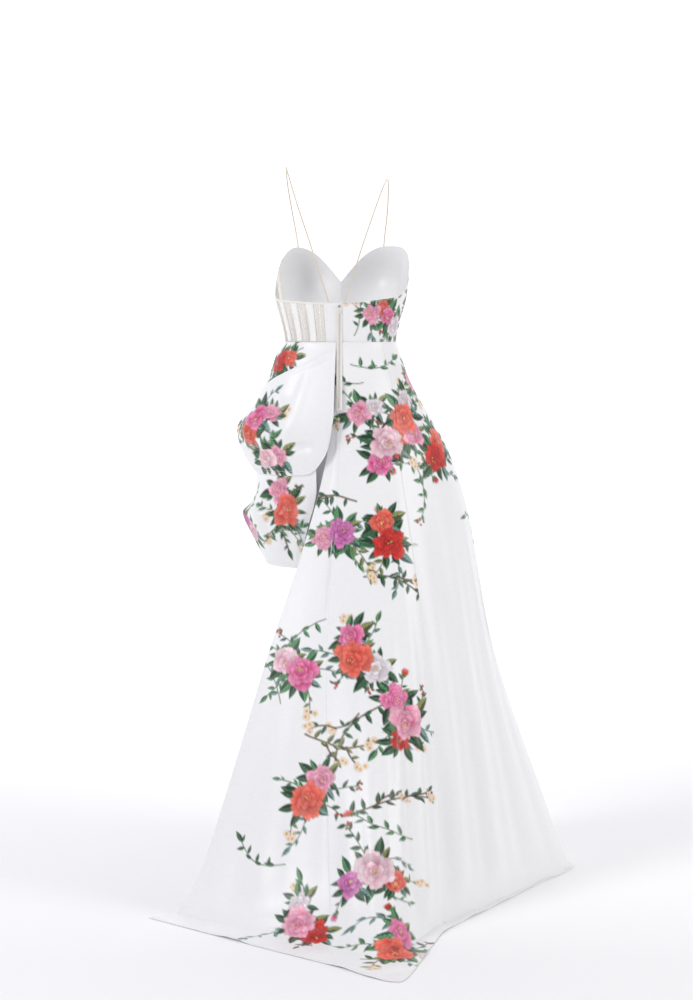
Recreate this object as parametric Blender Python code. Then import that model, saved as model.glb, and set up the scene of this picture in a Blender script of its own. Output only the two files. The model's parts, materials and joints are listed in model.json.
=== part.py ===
# Corset mini dress with a draped hip and a floor-length train, as one rigid worn shell.
# Metres, +Z up. The wearer faces +Y, so the back of the dress looks along -Y.
# The origin lies between the tops of the two straps, where the shoulders carry the dress.
# Heights in the tables are above the floor. Angles run round the body from the
# centre back (0), over the wearer's right (90) to the centre front (180).
import math

import bpy
import numpy as np

for old in list(bpy.data.objects):
    bpy.data.objects.remove(old, do_unlink=True)

# Driving sizes
SHOULDER_HEIGHT = 1.48      # strap tops above the floor
WAIST_HEIGHT = 1.137
BAND_BACK_TOP = 1.216       # top edge of the corset band at the centre back
CUP_SEAM_HEIGHT = 1.205
ZIP_END_HEIGHT = 1.000
MINI_HEM_HEIGHT = 0.674
CLOTH = 0.0014              # wall of one layer of duchesse satin with its backing
NET = 0.0010
SEAM_GAP = 0.0003
BONE_WIDTH = 0.0138
BINDING_WIDTH = 0.0040
STRAP_RADIUS = 0.0014
ZIP_HALF_WIDTH = 0.0058
ZIP_CENTRE = -0.0030
FLOOR_LIFT = 0.0002

# General figure with its ease: one row for each level
# height, half width, front depth, back depth
FIGURE = [
    (1.400, 0.146, 0.112, 0.084),
    (1.310, 0.142, 0.116, 0.084),
    (1.226, 0.134, 0.104, 0.085),
    (1.180, 0.122, 0.092, 0.085),
    (1.137, 0.1135, 0.086, 0.085),
    (1.090, 0.126, 0.090, 0.096),
    (1.030, 0.144, 0.096, 0.110),
    (0.950, 0.154, 0.102, 0.119),
    (0.800, 0.154, 0.108, 0.118),
    (0.674, 0.149, 0.112, 0.114),
]

# Left hip drapery: how far it stands from the body axis at the wearer's left side
# height, reach
UPPER_REACH = [
    (1.137, 0.1165),
    (1.110, 0.134),
    (1.080, 0.145),
    (1.040, 0.163),
    (0.998, 0.186),
    (0.975, 0.207),
    (0.955, 0.2145),
    (0.935, 0.2105),
    (0.900, 0.198),
    (0.880, 0.187),
    (0.866, 0.176),
]
LOWER_REACH = [
    (0.880, 0.1740),
    (0.866, 0.1743),
    (0.830, 0.1765),
    (0.802, 0.186),
    (0.783, 0.202),
    (0.764, 0.198),
    (0.731, 0.183),
    (0.700, 0.167),
    (0.674, 0.1535),
]

# Edges of the drapery round the body: angle, height
PLEAT_BOTTOM = [(-5, 1.120), (-29, 1.094), (-60, 1.062), (-90, 1.036), (-130, 1.040), (-168, 1.060)]
COWL_BOTTOM = [
    (-5, 0.985), (-8, 0.930), (-14, 0.892), (-20, 0.873), (-30, 0.867),
    (-60, 0.866), (-90, 0.866), (-130, 0.872), (-168, 0.890),
]
# Right edge of the lower swag, over the train: height, angle
SWAG_EDGE = [(0.880, -17), (0.860, -17), (0.840, -17), (0.806, -19), (0.750, -25), (0.674, -33)]
DRAPE_FRONT = -168

# Top edge of the corset and cups round the body: angle, height
TOP_EDGE = [
    (-180, 1.262), (-160, 1.318), (-140, 1.334), (-115, 1.290), (-98, 1.240), (-80, 1.227),
    (-50, 1.221), (0, 1.216), (40, 1.224), (62, 1.231), (76, 1.243), (86, 1.262),
    (96, 1.300), (115, 1.330), (140, 1.336), (160, 1.318), (180, 1.262),
]

# Columns of the train from its cut left edge round the back to its front edge.
# waist angle; x, y where it passes the hip, the knee, touches the floor, and at the hem
HIGH_HIP_LEVELS = [WAIST_HEIGHT - SEAM_GAP / 2, 1.127, 1.115, 1.102, 1.085, 1.060]
HIP_LEVEL = 0.900
KNEE_LEVEL = 0.450
TRAIN = [
    ("left_edge", -7, -0.030, -0.128, -0.166, -0.205, -0.300, -0.262, -0.382, -0.300),
    ("left_mid", -4, -0.016, -0.130, -0.100, -0.235, -0.160, -0.345, -0.146, -0.505),
    ("centre_seam", 0, -0.003, -0.133, -0.028, -0.255, -0.022, -0.410, -0.009, -0.620),
    ("right_mid", 13, 0.036, -0.133, 0.032, -0.270, 0.045, -0.470, 0.062, -0.692),
    ("back_corner", 24, 0.068, -0.130, 0.082, -0.268, 0.095, -0.480, 0.107, -0.713),
    ("corner_side", 35, 0.094, -0.127, 0.131, -0.246, 0.150, -0.400, 0.172, -0.500),
    ("notch", 47, 0.120, -0.119, 0.180, -0.212, 0.203, -0.320, 0.2076, -0.385),
    ("side_back", 63, 0.172, -0.083, 0.243, -0.140, 0.292, -0.215, 0.306, -0.225),
    ("side_mid", 80, 0.212, -0.038, 0.300, -0.062, 0.386, -0.074, 0.404, -0.064),
    ("right_corner", 96, 0.228, 0.010, 0.335, 0.028, 0.490, 0.098, 0.5045, 0.108),
    ("front_side", 114, 0.202, 0.066, 0.290, 0.124, 0.384, 0.222, 0.396, 0.232),
    ("front_mid", 134, 0.158, 0.108, 0.236, 0.190, 0.314, 0.300, 0.322, 0.312),
    ("front_edge", 154, 0.098, 0.132, 0.158, 0.222, 0.225, 0.318, 0.232, 0.328),
]
# Largest folds of the train: column position, half width in columns, depth, level where it starts
TRAIN_FOLDS = [
    (1.00, 0.55, 0.012, 0.60),
    (3.45, 0.50, 0.010, 0.70),
    (5.30, 0.55, 0.014, 0.85),
    (6.45, 0.38, 0.016, 0.88),
    (7.30, 0.40, 0.018, 0.95),
    (8.20, 0.38, 0.014, 0.90),
    (10.10, 0.45, 0.016, 0.85),
    (11.10, 0.45, 0.014, 0.85),
]

# Soft folds pressed into the upper cowl: angle, height, half angle, half height, depth
COWL_FOLDS = [
    (-46, 0.990, 9, 0.050, 0.010),
    (-68, 0.915, 13, 0.022, 0.012),
    (-26, 0.925, 10, 0.016, 0.006),
    (-112, 0.940, 14, 0.040, 0.010),
    (-140, 0.985, 12, 0.050, 0.008),
]

# Straps between their ends: x, y, height from the back over the shoulder to the front
STRAP_LEFT = [
    (-0.0420, -0.0940, 1.272), (-0.0650, -0.1050, 1.345), (-0.0840, -0.1060, 1.402),
    (-0.0960, -0.0930, 1.440), (-0.1080, -0.0560, 1.480), (-0.1130, -0.0080, 1.496),
    (-0.1130, 0.0380, 1.480), (-0.1060, 0.0850, 1.425), (-0.0960, 0.1090, 1.370),
]
STRAP_RIGHT = [
    (0.0240, -0.0940, 1.270), (0.0460, -0.1050, 1.338), (0.0640, -0.1060, 1.390),
    (0.0760, -0.0930, 1.424), (0.0880, -0.0560, 1.456), (0.0960, -0.0080, 1.470),
    (0.0990, 0.0380, 1.456), (0.0980, 0.0850, 1.410), (0.0930, 0.1090, 1.362),
]
# Where each strap is sewn on: angle at the back band, angle at the cup
STRAP_SEATS = {"strap_left": (-10.6, -141.5), "strap_right": (2.8, 141.5)}


# Shape helpers

def smooth(table, column=1):
    """A smooth function through a table's first column and another one."""
    rows = sorted(table)
    xs = np.array([row[0] for row in rows], float)
    ys = np.array([row[column] for row in rows], float)
    steps = np.diff(ys) / np.diff(xs)
    slopes = np.concatenate(([steps[0]], (steps[:-1] + steps[1:]) / 2, [steps[-1]]))
    turns = np.concatenate(([False], steps[:-1] * steps[1:] <= 0, [False]))
    slopes[turns] = 0

    def value(x):
        x = np.clip(x, xs[0], xs[-1])
        i = np.clip(np.searchsorted(xs, x) - 1, 0, len(xs) - 2)
        span = xs[i + 1] - xs[i]
        t = (x - xs[i]) / span
        return (
            ys[i] * (1 + 2 * t) * (1 - t) ** 2
            + slopes[i] * span * t * (1 - t) ** 2
            + ys[i + 1] * t * t * (3 - 2 * t)
            + slopes[i + 1] * span * t * t * (t - 1)
        )

    return value


half_width = smooth(FIGURE, 1)
front_depth = smooth(FIGURE, 2)
back_depth = smooth(FIGURE, 3)
upper_reach = smooth(UPPER_REACH)
lower_reach = smooth(LOWER_REACH)
pleat_bottom = smooth(PLEAT_BOTTOM)
cowl_bottom = smooth(COWL_BOTTOM)
swag_edge = smooth(SWAG_EDGE)
top_edge = smooth(TOP_EDGE)


def ease(t):
    t = min(max(t, 0.0), 1.0)
    return t * t * (3 - 2 * t)


def bump(distance):
    """A soft hill: 1 at its middle, 0 from a distance of 1 on."""
    return math.cos(min(abs(distance), 1.0) * math.pi / 2) ** 2


def on_figure(angle, height, out=0.0):
    """A point on the figure at this angle and height, moved out by a distance."""
    a = math.radians(angle)
    depth = back_depth(height) if math.cos(a) > 0 else front_depth(height)
    x = half_width(height) * math.sin(a)
    y = -depth * math.cos(a)
    length = math.hypot(x / half_width(height) ** 2, y / depth ** 2)
    nx = x / half_width(height) ** 2 / length
    ny = y / depth ** 2 / length
    return np.array([x + nx * out, y + ny * out, height])


def grid(rows, columns, point):
    """Points of a surface: point(across, down) with both from 0 to 1."""
    return np.array([
        [point(j / columns, i / rows) for j in range(columns + 1)]
        for i in range(rows + 1)
    ])


def outward(points, level_rows=None):
    """Unit normals of a grid whose columns run to the wearer's right and rows down.
    The rows named by level_rows get level normals, so that a seam edge stays at its height."""
    across = np.gradient(points, axis=1)
    down = np.gradient(points, axis=0)
    normal = np.cross(down, across)
    if level_rows is not None:
        normal[level_rows, :, 2] = 0
    return normal / np.linalg.norm(normal, axis=2)[:, :, None]


def to_world(point):
    return (float(point[0]), float(point[1]), float(point[2]) - SHOULDER_HEIGHT)


def finish(name, mesh, colour, roughness, metallic=0.0):
    material = bpy.data.materials.new(name + "_finish")
    material.use_nodes = True
    shader = material.node_tree.nodes["Principled BSDF"]
    shader.inputs["Base Color"].default_value = (*colour, 1.0)
    shader.inputs["Roughness"].default_value = roughness
    shader.inputs["Metallic"].default_value = metallic
    mesh.materials.append(material)
    mesh.shade_smooth()
    mesh.set_sharp_from_angle(angle=math.radians(40))
    piece = bpy.data.objects.new(name, mesh)
    bpy.context.scene.collection.objects.link(piece)
    return piece


def shell(name, outer, inner, colour, roughness=0.45, metallic=0.0):
    """A closed wall between two grids of the same size."""
    rows, columns = outer.shape[:2]
    points = [to_world(p) for p in outer.reshape(-1, 3)] + [to_world(p) for p in inner.reshape(-1, 3)]
    offset = rows * columns

    def at(i, j, side=0):
        return side * offset + i * columns + j

    faces = []
    for i in range(rows - 1):
        for j in range(columns - 1):
            faces.append((at(i, j), at(i + 1, j), at(i + 1, j + 1), at(i, j + 1)))
            faces.append((at(i, j, 1), at(i, j + 1, 1), at(i + 1, j + 1, 1), at(i + 1, j, 1)))
    for j in range(columns - 1):
        faces.append((at(0, j), at(0, j + 1), at(0, j + 1, 1), at(0, j, 1)))
        last = rows - 1
        faces.append((at(last, j), at(last, j, 1), at(last, j + 1, 1), at(last, j + 1)))
    for i in range(rows - 1):
        faces.append((at(i, 0), at(i, 0, 1), at(i + 1, 0, 1), at(i + 1, 0)))
        last = columns - 1
        faces.append((at(i, last), at(i + 1, last), at(i + 1, last, 1), at(i, last, 1)))
    mesh = bpy.data.meshes.new(name)
    mesh.from_pydata(points, [], faces)
    mesh.validate()
    return finish(name, mesh, colour, roughness, metallic)


def wall(name, surface, thickness, colour, roughness=0.45, lift=0.0):
    """A cloth wall: its inner face is the surface moved out by lift, its outer one lies outside that."""
    normals = outward(surface, slice(None))
    return shell(name, surface + normals * (lift + thickness), surface + normals * lift, colour, roughness)


WHITE = (0.86, 0.86, 0.88)
CREAM = (0.84, 0.80, 0.72)
NET_GREY = (0.55, 0.52, 0.48)
METAL = (0.62, 0.61, 0.60)


# Corset band

def seam_edges(start, end, height):
    """Angles of a panel's two side seams, half a seam gap in from its neighbours."""
    trim = math.degrees(SEAM_GAP / 2 / half_width(height))
    return start + trim, end - trim


def band_point(start, end, bottom, top):
    def point(across, down):
        first, last = seam_edges(start, end, WAIST_HEIGHT)
        angle = first + (last - first) * across
        upper = top(angle)
        height = upper + (bottom(angle) - upper) * down
        return on_figure(angle, height)
    return point


def band_bottom(angle):
    return WAIST_HEIGHT + SEAM_GAP / 2


def below_cup(angle):
    return CUP_SEAM_HEIGHT - SEAM_GAP / 2


def above_cup(angle):
    return CUP_SEAM_HEIGHT + SEAM_GAP / 2


PLACKET_LEFT = -15.5
BAND_PANELS = [
    # name, start angle, end angle, top edge, cloth, colour
    ("net_back_left", -55, PLACKET_LEFT, top_edge, NET, NET_GREY),
    ("net_side_left", -115, -55, top_edge, NET, NET_GREY),
    ("net_front_left", -180, -115, below_cup, NET, NET_GREY),
    ("placket_left", PLACKET_LEFT, -1.6, top_edge, CLOTH, WHITE),
    ("satin_back_right", -1.4, 55, top_edge, CLOTH, WHITE),
    ("satin_side_right", 55, 115, top_edge, CLOTH, WHITE),
    ("satin_front_right", 115, 180, below_cup, CLOTH, WHITE),
]


BAND_ROWS = 5


def build_band():
    for name, start, end, top, thickness, colour in BAND_PANELS:
        columns = max(3, round((end - start) / 6))
        wall(name, grid(BAND_ROWS, columns, band_point(start, end, band_bottom, top)), thickness, colour)


# Cups: domed panels above the band's front

CUPS = [
    # name, start angle, end angle
    ("cup_left", -179.8, -115),
    ("cup_right", 115, 179.8),
]
CUP_APEX_ANGLE = 146
CUP_APEX_HEIGHT = 1.262
CUP_FULLNESS = 0.030


def on_cup(angle, height, out=0.0):
    dome = bump((abs(angle) - CUP_APEX_ANGLE) / 36) * bump((height - CUP_APEX_HEIGHT) / 0.085)
    return on_figure(angle, height, out + CUP_FULLNESS * dome)


def build_cups():
    for name, start, end in CUPS:
        def point(across, down):
            first, last = seam_edges(start, end, WAIST_HEIGHT)
            angle = first + (last - first) * across
            upper = top_edge(angle)
            return on_cup(angle, upper + (above_cup(angle) - upper) * down)
        wall(name, grid(7, 11, point), CLOTH, WHITE)


# White trim of the net panels

def build_binding():
    def point(across, down):
        angle = -114 + (PLACKET_LEFT + 114) * across
        return on_figure(angle, top_edge(angle) - BINDING_WIDTH * down)
    wall("top_binding", grid(1, 18, point), 0.0010, CREAM, lift=NET + 2 * SEAM_GAP)


BAND_MIDDLE = 1.180
BONE_ANGLES = [-29.0, -47.0, -66.0, -85.0, -104.0, -126.0, -146.0, -166.0]


def build_bones():
    for number, middle in enumerate(BONE_ANGLES, 1):
        top = below_cup if middle < -115 else top_edge
        rim = SEAM_GAP if middle < -115 else BINDING_WIDTH + SEAM_GAP

        def point(across, down):
            a = math.radians(middle)
            round_here = math.hypot(half_width(BAND_MIDDLE) * math.cos(a), back_depth(BAND_MIDDLE) * math.sin(a))
            spread = math.degrees(BONE_WIDTH / round_here)
            angle = middle + spread * (across - 0.5)
            upper = top(angle) - rim
            height = upper + (WAIST_HEIGHT + 0.0010 - upper) * down
            return on_figure(angle, height)
        wall(f"bone_casing_{number}", grid(BAND_ROWS, 2, point), 0.0010, WHITE, lift=NET + 2 * SEAM_GAP)


# Mini skirt: the inner shell from the waist to the short hem

MINI_PANELS = [("mini_back_left", -90, 0), ("mini_back_right", 0, 90), ("mini_front", 90, 270)]
SKIRT_TOP = WAIST_HEIGHT - SEAM_GAP / 2
MINI_LEVELS = [*HIGH_HIP_LEVELS, 1.010, 0.930, 0.800, MINI_HEM_HEIGHT]


def build_mini():
    for name, start, end in MINI_PANELS:
        def point(across, down):
            first, last = seam_edges(start, end, WAIST_HEIGHT)
            angle = first + (last - first) * across
            height = MINI_LEVELS[round(down * (len(MINI_LEVELS) - 1))]
            return on_figure(angle, height)
        wall(name, grid(len(MINI_LEVELS) - 1, round((end - start) / 10), point), CLOTH, WHITE)


LAYER = CLOTH + SEAM_GAP


# Train: four gores on one sweeping surface

def train_column(position, column):
    """A value of the train's table at a position between its columns."""
    values = [(i, row[column]) for i, row in enumerate(TRAIN)]
    return smooth(values)(position)


LONG_ROWS = 15
FLOOR_ROWS = 5
TRAIN_TOP = LAYER + CLOTH   # the train's outer face at the waist, over the mini skirt


def train_path(position):
    """Points down one line of the train: the hang from waist to floor, then the floor to the hem."""
    angle = train_column(position, 1)
    top = [on_figure(angle, level, TRAIN_TOP + (WAIST_HEIGHT - level) * 0.04) for level in HIGH_HIP_LEVELS]
    hip = (train_column(position, 2), train_column(position, 3))
    knee = (train_column(position, 4), train_column(position, 5))
    ground = np.array([train_column(position, 6), train_column(position, 7)])
    hem = np.array([train_column(position, 8), train_column(position, 9)])
    floor = CLOTH + FLOOR_LIFT
    levels = [(point[2], point[0], point[1]) for point in top]
    levels += [(HIP_LEVEL, *hip), (KNEE_LEVEL, *knee), (floor, *ground)]
    along_x = smooth(levels, 1)
    along_y = smooth(levels, 2)
    path = []
    below_hip = np.linspace(HIGH_HIP_LEVELS[-1], floor, LONG_ROWS + 1)[1:-1]
    for height in [*HIGH_HIP_LEVELS, *below_hip]:
        path.append((along_x(height), along_y(height), height))
    turn = len(path)
    for i in range(FLOOR_ROWS + 1):
        place = ground + (hem - ground) * (i / FLOOR_ROWS)
        path.append((place[0], place[1], floor))
    path = np.array(path, float)
    for _ in range(6):
        low = slice(turn - 3, turn + 2)
        path[low] = (path[turn - 4:turn + 1] + path[low] + path[turn - 2:turn + 3]) / 3
    return path


def train_point_out(position, height):
    """How far the folds push the train out at this place."""
    out = 0.0
    for middle, half, depth, start in TRAIN_FOLDS:
        growth = ease((start - height) / start) * ease(height / 0.10)
        out += depth * growth * bump((position - middle) / half)
    return out


def train_surface(positions):
    """The train's outer face and its normals, with the folds pushed out of the plain sweep."""
    surface = np.array([train_path(position) for position in positions]).transpose(1, 0, 2)
    normals = outward(surface)
    for j, position in enumerate(positions):
        for i in range(len(surface)):
            push = train_point_out(position, surface[i, j, 2])
            surface[i, j, :2] += normals[i, j, :2] * push
    return surface, outward(surface, slice(0, 1))


COLUMN_STEP = 0.25
TRAIN_GORES = [
    # name, first and last column position
    ("train_back_left", 0.0, 2.0),
    ("train_back_right", 2.0, 6.0),
    ("train_side", 6.0, 8.75),
    ("train_front", 8.75, 12.0),
]


def trimmed_sides(surface):
    """Draws a panel's two side edges in by half a seam gap."""
    for edge, inside in ((0, 1), (-1, -2)):
        along = surface[:, inside] - surface[:, edge]
        along /= np.linalg.norm(along, axis=1)[:, None]
        surface[:, edge] += along * SEAM_GAP / 2
    return surface


def build_train():
    positions = np.arange(0, len(TRAIN) - 1 + COLUMN_STEP / 2, COLUMN_STEP)
    surface, normals = train_surface(positions)
    for name, first, last in TRAIN_GORES:
        columns = slice(round(first / COLUMN_STEP), round(last / COLUMN_STEP) + 1)
        outer = trimmed_sides(surface[:, columns].copy())
        shell(name, outer, outer - normals[:, columns] * CLOTH, WHITE)


# Left hip drapery

def side_weight(angle):
    """How much of the drapery's fullness is left at this angle: all at the side, little at back and front."""
    away = abs(angle)
    if away < 90:
        return ease((away - 4) / 76)
    return ease((178 - away) / 74)


def drape_point(angle, height, reach, clearance, under=0.0):
    """A point of the drapery, which stands off by a clearance and lies under another layer by a depth."""
    fullness = max(0.0, reach(height) - under - half_width(height) - clearance)
    return on_figure(angle, height, clearance + fullness * side_weight(angle))


def cowl_press(angle, height):
    press = 0.0
    for middle, level, half_angle, half_height, depth in COWL_FOLDS:
        press += depth * bump((angle - middle) / half_angle) * bump((height - level) / half_height)
    return press


TRAIN_COVER = 0.0145        # how far the drapery stands off the figure over the train
DRAPE_EDGE = 0.0096         # right edge of the drapery, left of the centre back
COWL_LAP = 0.005
SWAG_TOP = 0.880
HEM_EASE = 0.0030           # the swag closes in on the mini skirt's hem
ZIP_LEFT = -4.9


def stand_off(height):
    """Clearance of the drapery: one more layer at the waist, then out over the train."""
    drop = WAIST_HEIGHT - height
    return 2 * LAYER + 0.05 * min(drop, 0.05) + TRAIN_COVER * ease(drop / 0.16)


def beside_zip(angle, height):
    """Keeps the drapery's right edge just left of the zip, at every height."""
    limit = -math.degrees(math.asin(DRAPE_EDGE / half_width(height)))
    return min(angle, limit)


def build_pleat():
    def point(across, down):
        angle = DRAPE_FRONT + (ZIP_LEFT - DRAPE_FRONT) * across
        height = SKIRT_TOP + (pleat_bottom(angle) - SKIRT_TOP) * down
        return drape_point(beside_zip(angle, height), height, upper_reach, stand_off(height), LAYER)
    wall("hip_pleat", grid(4, 26, point), CLOTH, WHITE)


def build_cowl():
    def point(across, down):
        angle = DRAPE_FRONT + (ZIP_LEFT - DRAPE_FRONT) * across
        top = pleat_bottom(angle) + COWL_LAP
        height = top + (cowl_bottom(angle) - top) * down
        angle = beside_zip(angle, height)
        out = stand_off(height) + LAYER
        place = drape_point(angle, height, upper_reach, out)
        inward = on_figure(angle, height) - on_figure(angle, height, 1.0)
        return place + inward * cowl_press(angle, height)
    wall("upper_cowl", grid(13, 30, point), CLOTH, WHITE, lift=SEAM_GAP)


def build_swag():
    def point(across, down):
        height = SWAG_TOP + (MINI_HEM_HEIGHT - SWAG_TOP) * down
        angle = DRAPE_FRONT + (swag_edge(height) - DRAPE_FRONT) * across
        return drape_point(angle, height, lower_reach, HEM_EASE + (stand_off(SWAG_TOP) - HEM_EASE) * (1 - down))
    wall("lower_swag", grid(12, 26, point), CLOTH, WHITE)


# Straps

def build_strap(name, middle):
    back, front = STRAP_SEATS[name]
    start = on_figure(back, top_edge(back) + 2 * SEAM_GAP, CLOTH / 2)
    end = on_cup(front, top_edge(front) + 3 * SEAM_GAP, CLOTH / 2)
    route = [start, *middle, end]
    xs = smooth([(i, p[0]) for i, p in enumerate(route)])
    ys = smooth([(i, p[1]) for i, p in enumerate(route)])
    heights = smooth([(i, p[2]) for i, p in enumerate(route)])
    steps = 24
    curve = bpy.data.curves.new(name, "CURVE")
    curve.dimensions = "3D"
    spline = curve.splines.new("POLY")
    spline.points.add(steps)
    for i in range(steps + 1):
        t = (len(route) - 1) * i / steps
        spline.points[i].co = (*to_world((xs(t), ys(t), heights(t))), 1.0)
    curve.bevel_depth = STRAP_RADIUS
    curve.bevel_resolution = 2
    curve.use_fill_caps = True
    guide = bpy.data.objects.new(name + "_guide", curve)
    bpy.context.scene.collection.objects.link(guide)
    mesh = bpy.data.meshes.new_from_object(guide.evaluated_get(bpy.context.evaluated_depsgraph_get()))
    mesh.materials.clear()
    bpy.data.objects.remove(guide, do_unlink=True)
    mesh.name = name
    finish(name, mesh, CREAM, 0.4)


# Zip, hook and eye at the centre back

def back_line(height):
    """Where the outermost back layer lies at the zip, on the way from band to skirt."""
    step = ease((WAIST_HEIGHT + 0.012 - height) / 0.012)
    spread = 0.0080 * ease((WAIST_HEIGHT - height) / 0.120)
    return LAYER + SEAM_GAP + step * (LAYER + spread)


def strip_on_back(centre, half, top, bottom, lift):
    def point(across, down):
        height = top + (bottom - top) * down
        x = centre + half * (2 * across - 1)
        angle = math.degrees(math.asin(x / half_width(height)))
        return on_figure(angle, height, back_line(height) + lift)
    return point


def build_zip():
    top = BAND_BACK_TOP - 0.006
    tape = grid(18, 2, strip_on_back(ZIP_CENTRE, ZIP_HALF_WIDTH, top, ZIP_END_HEIGHT, 0.0))
    wall("zip_tape", tape, 0.0008, CREAM)
    coil = grid(18, 1, strip_on_back(ZIP_CENTRE, 0.0012, top - 0.016, ZIP_END_HEIGHT + 0.004, 0.0011))
    wall("zip_coil", coil, 0.0008, CREAM)
    slider = grid(2, 2, strip_on_back(ZIP_CENTRE, 0.0020, top - 0.007, top - 0.0155, 0.0011))
    wall("zip_slider", slider, 0.0018, CREAM)


def build_hook():
    top = BAND_BACK_TOP - 0.001
    hook = grid(1, 2, strip_on_back(ZIP_CENTRE, 0.0026, top - 0.0035, top - 0.0060, 0.0023))
    wall("hook", hook, 0.0009, METAL)
    eye = grid(1, 2, strip_on_back(ZIP_CENTRE, 0.0022, top - 0.0062, top - 0.0076, 0.0014))
    wall("eye", eye, 0.0009, METAL)


build_band()
build_cups()
build_binding()
build_bones()
build_mini()
build_train()
build_pleat()
build_cowl()
build_swag()
build_strap("strap_left", STRAP_LEFT)
build_strap("strap_right", STRAP_RIGHT)
build_zip()
build_hook()
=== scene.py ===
# %% [markdown]
# # A corset mini dress with a draped hip and a train
# The dress is one worn shell: a boned corset band, two cups, a short skirt, a draped left hip
# and a train that falls from the waist to the floor. The first cell loads the measured solids.
# Every cloth piece below is a finer wall laid on one of those solids.

# %% Load the frame
import json
import math

import bpy
import numpy as np
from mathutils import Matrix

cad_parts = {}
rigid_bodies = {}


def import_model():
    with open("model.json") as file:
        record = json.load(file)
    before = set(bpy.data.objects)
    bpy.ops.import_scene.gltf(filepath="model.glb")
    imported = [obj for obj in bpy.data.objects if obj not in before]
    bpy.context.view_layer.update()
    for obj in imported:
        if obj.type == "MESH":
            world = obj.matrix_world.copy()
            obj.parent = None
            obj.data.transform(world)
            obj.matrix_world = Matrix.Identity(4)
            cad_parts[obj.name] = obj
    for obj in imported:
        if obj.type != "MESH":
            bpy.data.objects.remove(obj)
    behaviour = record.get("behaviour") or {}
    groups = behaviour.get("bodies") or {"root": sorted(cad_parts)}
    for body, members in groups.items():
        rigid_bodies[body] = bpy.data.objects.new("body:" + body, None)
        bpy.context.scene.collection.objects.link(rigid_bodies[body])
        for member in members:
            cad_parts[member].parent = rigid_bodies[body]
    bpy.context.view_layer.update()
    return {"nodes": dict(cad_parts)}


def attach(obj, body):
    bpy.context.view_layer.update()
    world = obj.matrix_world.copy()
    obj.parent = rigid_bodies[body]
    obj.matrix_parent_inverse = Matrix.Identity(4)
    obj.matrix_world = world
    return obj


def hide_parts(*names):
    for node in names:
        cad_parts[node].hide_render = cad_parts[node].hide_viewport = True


for old in list(bpy.data.objects):
    bpy.data.objects.remove(old, do_unlink=True)
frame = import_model()
print("solids:", len(frame["nodes"]))

# %% [markdown]
# ## Camera
# The camera stands behind the wearer, a little above waist height, and tilts down by five
# degrees, so that the floor-length train and the straps both fit in the upright frame.

# %% Camera
SHOULDER_HEIGHT = 1.48      # the origin's height above the floor
CAMERA_HEIGHT = 1.20
CAMERA_DISTANCE = 4.50
CAMERA_TILT = 5.0
FOCAL_PIXELS = 2160.0       # focal length in pixels of the 1000 pixel high frame
FRAME_HEIGHT = 1000
CAMERA_SIDE = 0.0116        # how far the camera stands to the right of the dress's middle


def add_object(name, data):
    """An object in the scene for some data."""
    made = bpy.data.objects.new(name, data)
    bpy.context.scene.collection.objects.link(made)
    return made


camera_data = bpy.data.cameras.new("camera")
camera_data.sensor_width = 36.0
camera_data.lens = FOCAL_PIXELS / FRAME_HEIGHT * camera_data.sensor_width
camera = add_object("camera", camera_data)
camera.location = (CAMERA_SIDE, -CAMERA_DISTANCE, CAMERA_HEIGHT - SHOULDER_HEIGHT)
camera.rotation_euler = (math.radians(90 - CAMERA_TILT), 0, 0)
bpy.context.scene.camera = camera
print("lens:", round(camera_data.lens, 1), "mm")

# %% [markdown]
# ## Light and floor
# Bridal satin is shot in even light, so a large soft source stands on each side and one above,
# and the world fills the shadows. A pale floor catches the contact shadow of the train. The
# paper glows more and more towards the back, which keeps it white without hotter lamps.

# %% Light and floor
def linear(code, gain=1.0):
    """An sRGB hex colour as linear values, by the standard's own formula."""
    parts = [int(code[i:i + 2], 16) / 255 for i in (1, 3, 5)]
    return tuple(gain * (c / 12.92 if c <= 0.04045 else ((c + 0.055) / 1.055) ** 2.4) for c in parts)


def set_values(node, settings):
    """Sets a node's input values by name, and its other properties."""
    for key, value in settings.items():
        if key in node.inputs:
            node.inputs[key].default_value = value
        else:
            setattr(node, key, value)


def add_node(tree, kind, settings=None, **links):
    """Adds a node, sets its properties and input values, and links named inputs to sockets."""
    node = tree.nodes.new(kind)
    set_values(node, settings or {})
    for key, socket in links.items():
        tree.links.new(socket, node.inputs[key.replace("_", " ")])
    return node


def new_material(name, settings):
    """A material whose shader has these input values."""
    material = bpy.data.materials.new(name)
    material.use_nodes = True
    shader = material.node_tree.nodes["Principled BSDF"]
    set_values(shader, settings)
    return material, material.node_tree, shader


def add_light(name, place, target, size, watts, colour):
    """A soft disc that points at its target and doesn't show itself."""
    data = bpy.data.lights.new(name, "AREA")
    data.shape = "DISK"
    data.size = size
    data.energy = watts
    data.color = linear(colour)
    light = add_object(name, data)
    light.location = place
    x, y, z = np.array(place, float) - np.array(target, float)
    light.rotation_euler = (math.atan2(math.hypot(x, y), z), 0, math.atan2(x, -y))
    light.visible_camera = False


LIGHTS = [
    # name, place, target, size, watts, colour
    ("key_left", (-3.0, -2.4, 1.5), (0, 0, -0.6), 1.5, 74, "#ffffff"),
    ("fill_right", (3.4, -1.6, 0.6), (0, 0, -0.8), 1.6, 44, "#fffdf8"),
    ("top", (0.3, -0.2, 2.6), (0, 0, -0.8), 2.0, 14, "#ffffff"),
]
for light in LIGHTS:
    add_light(*light)

world = bpy.data.worlds.new("studio")
world.use_nodes = True
set_values(world.node_tree.nodes["Background"], {"Color": (*linear("#f6f6ff"), 1), "Strength": 0.50})
bpy.context.scene.world = world
bpy.context.scene.view_settings.view_transform = "Standard"

FLOOR_GAP = 0.0008          # between the hem's underside and the paper
BEND_STEPS = 16
GLOW_START = -0.6           # the paper begins to glow here and glows most at the other place
GLOW_END = 4.0
GLOW = 0.52


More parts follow.
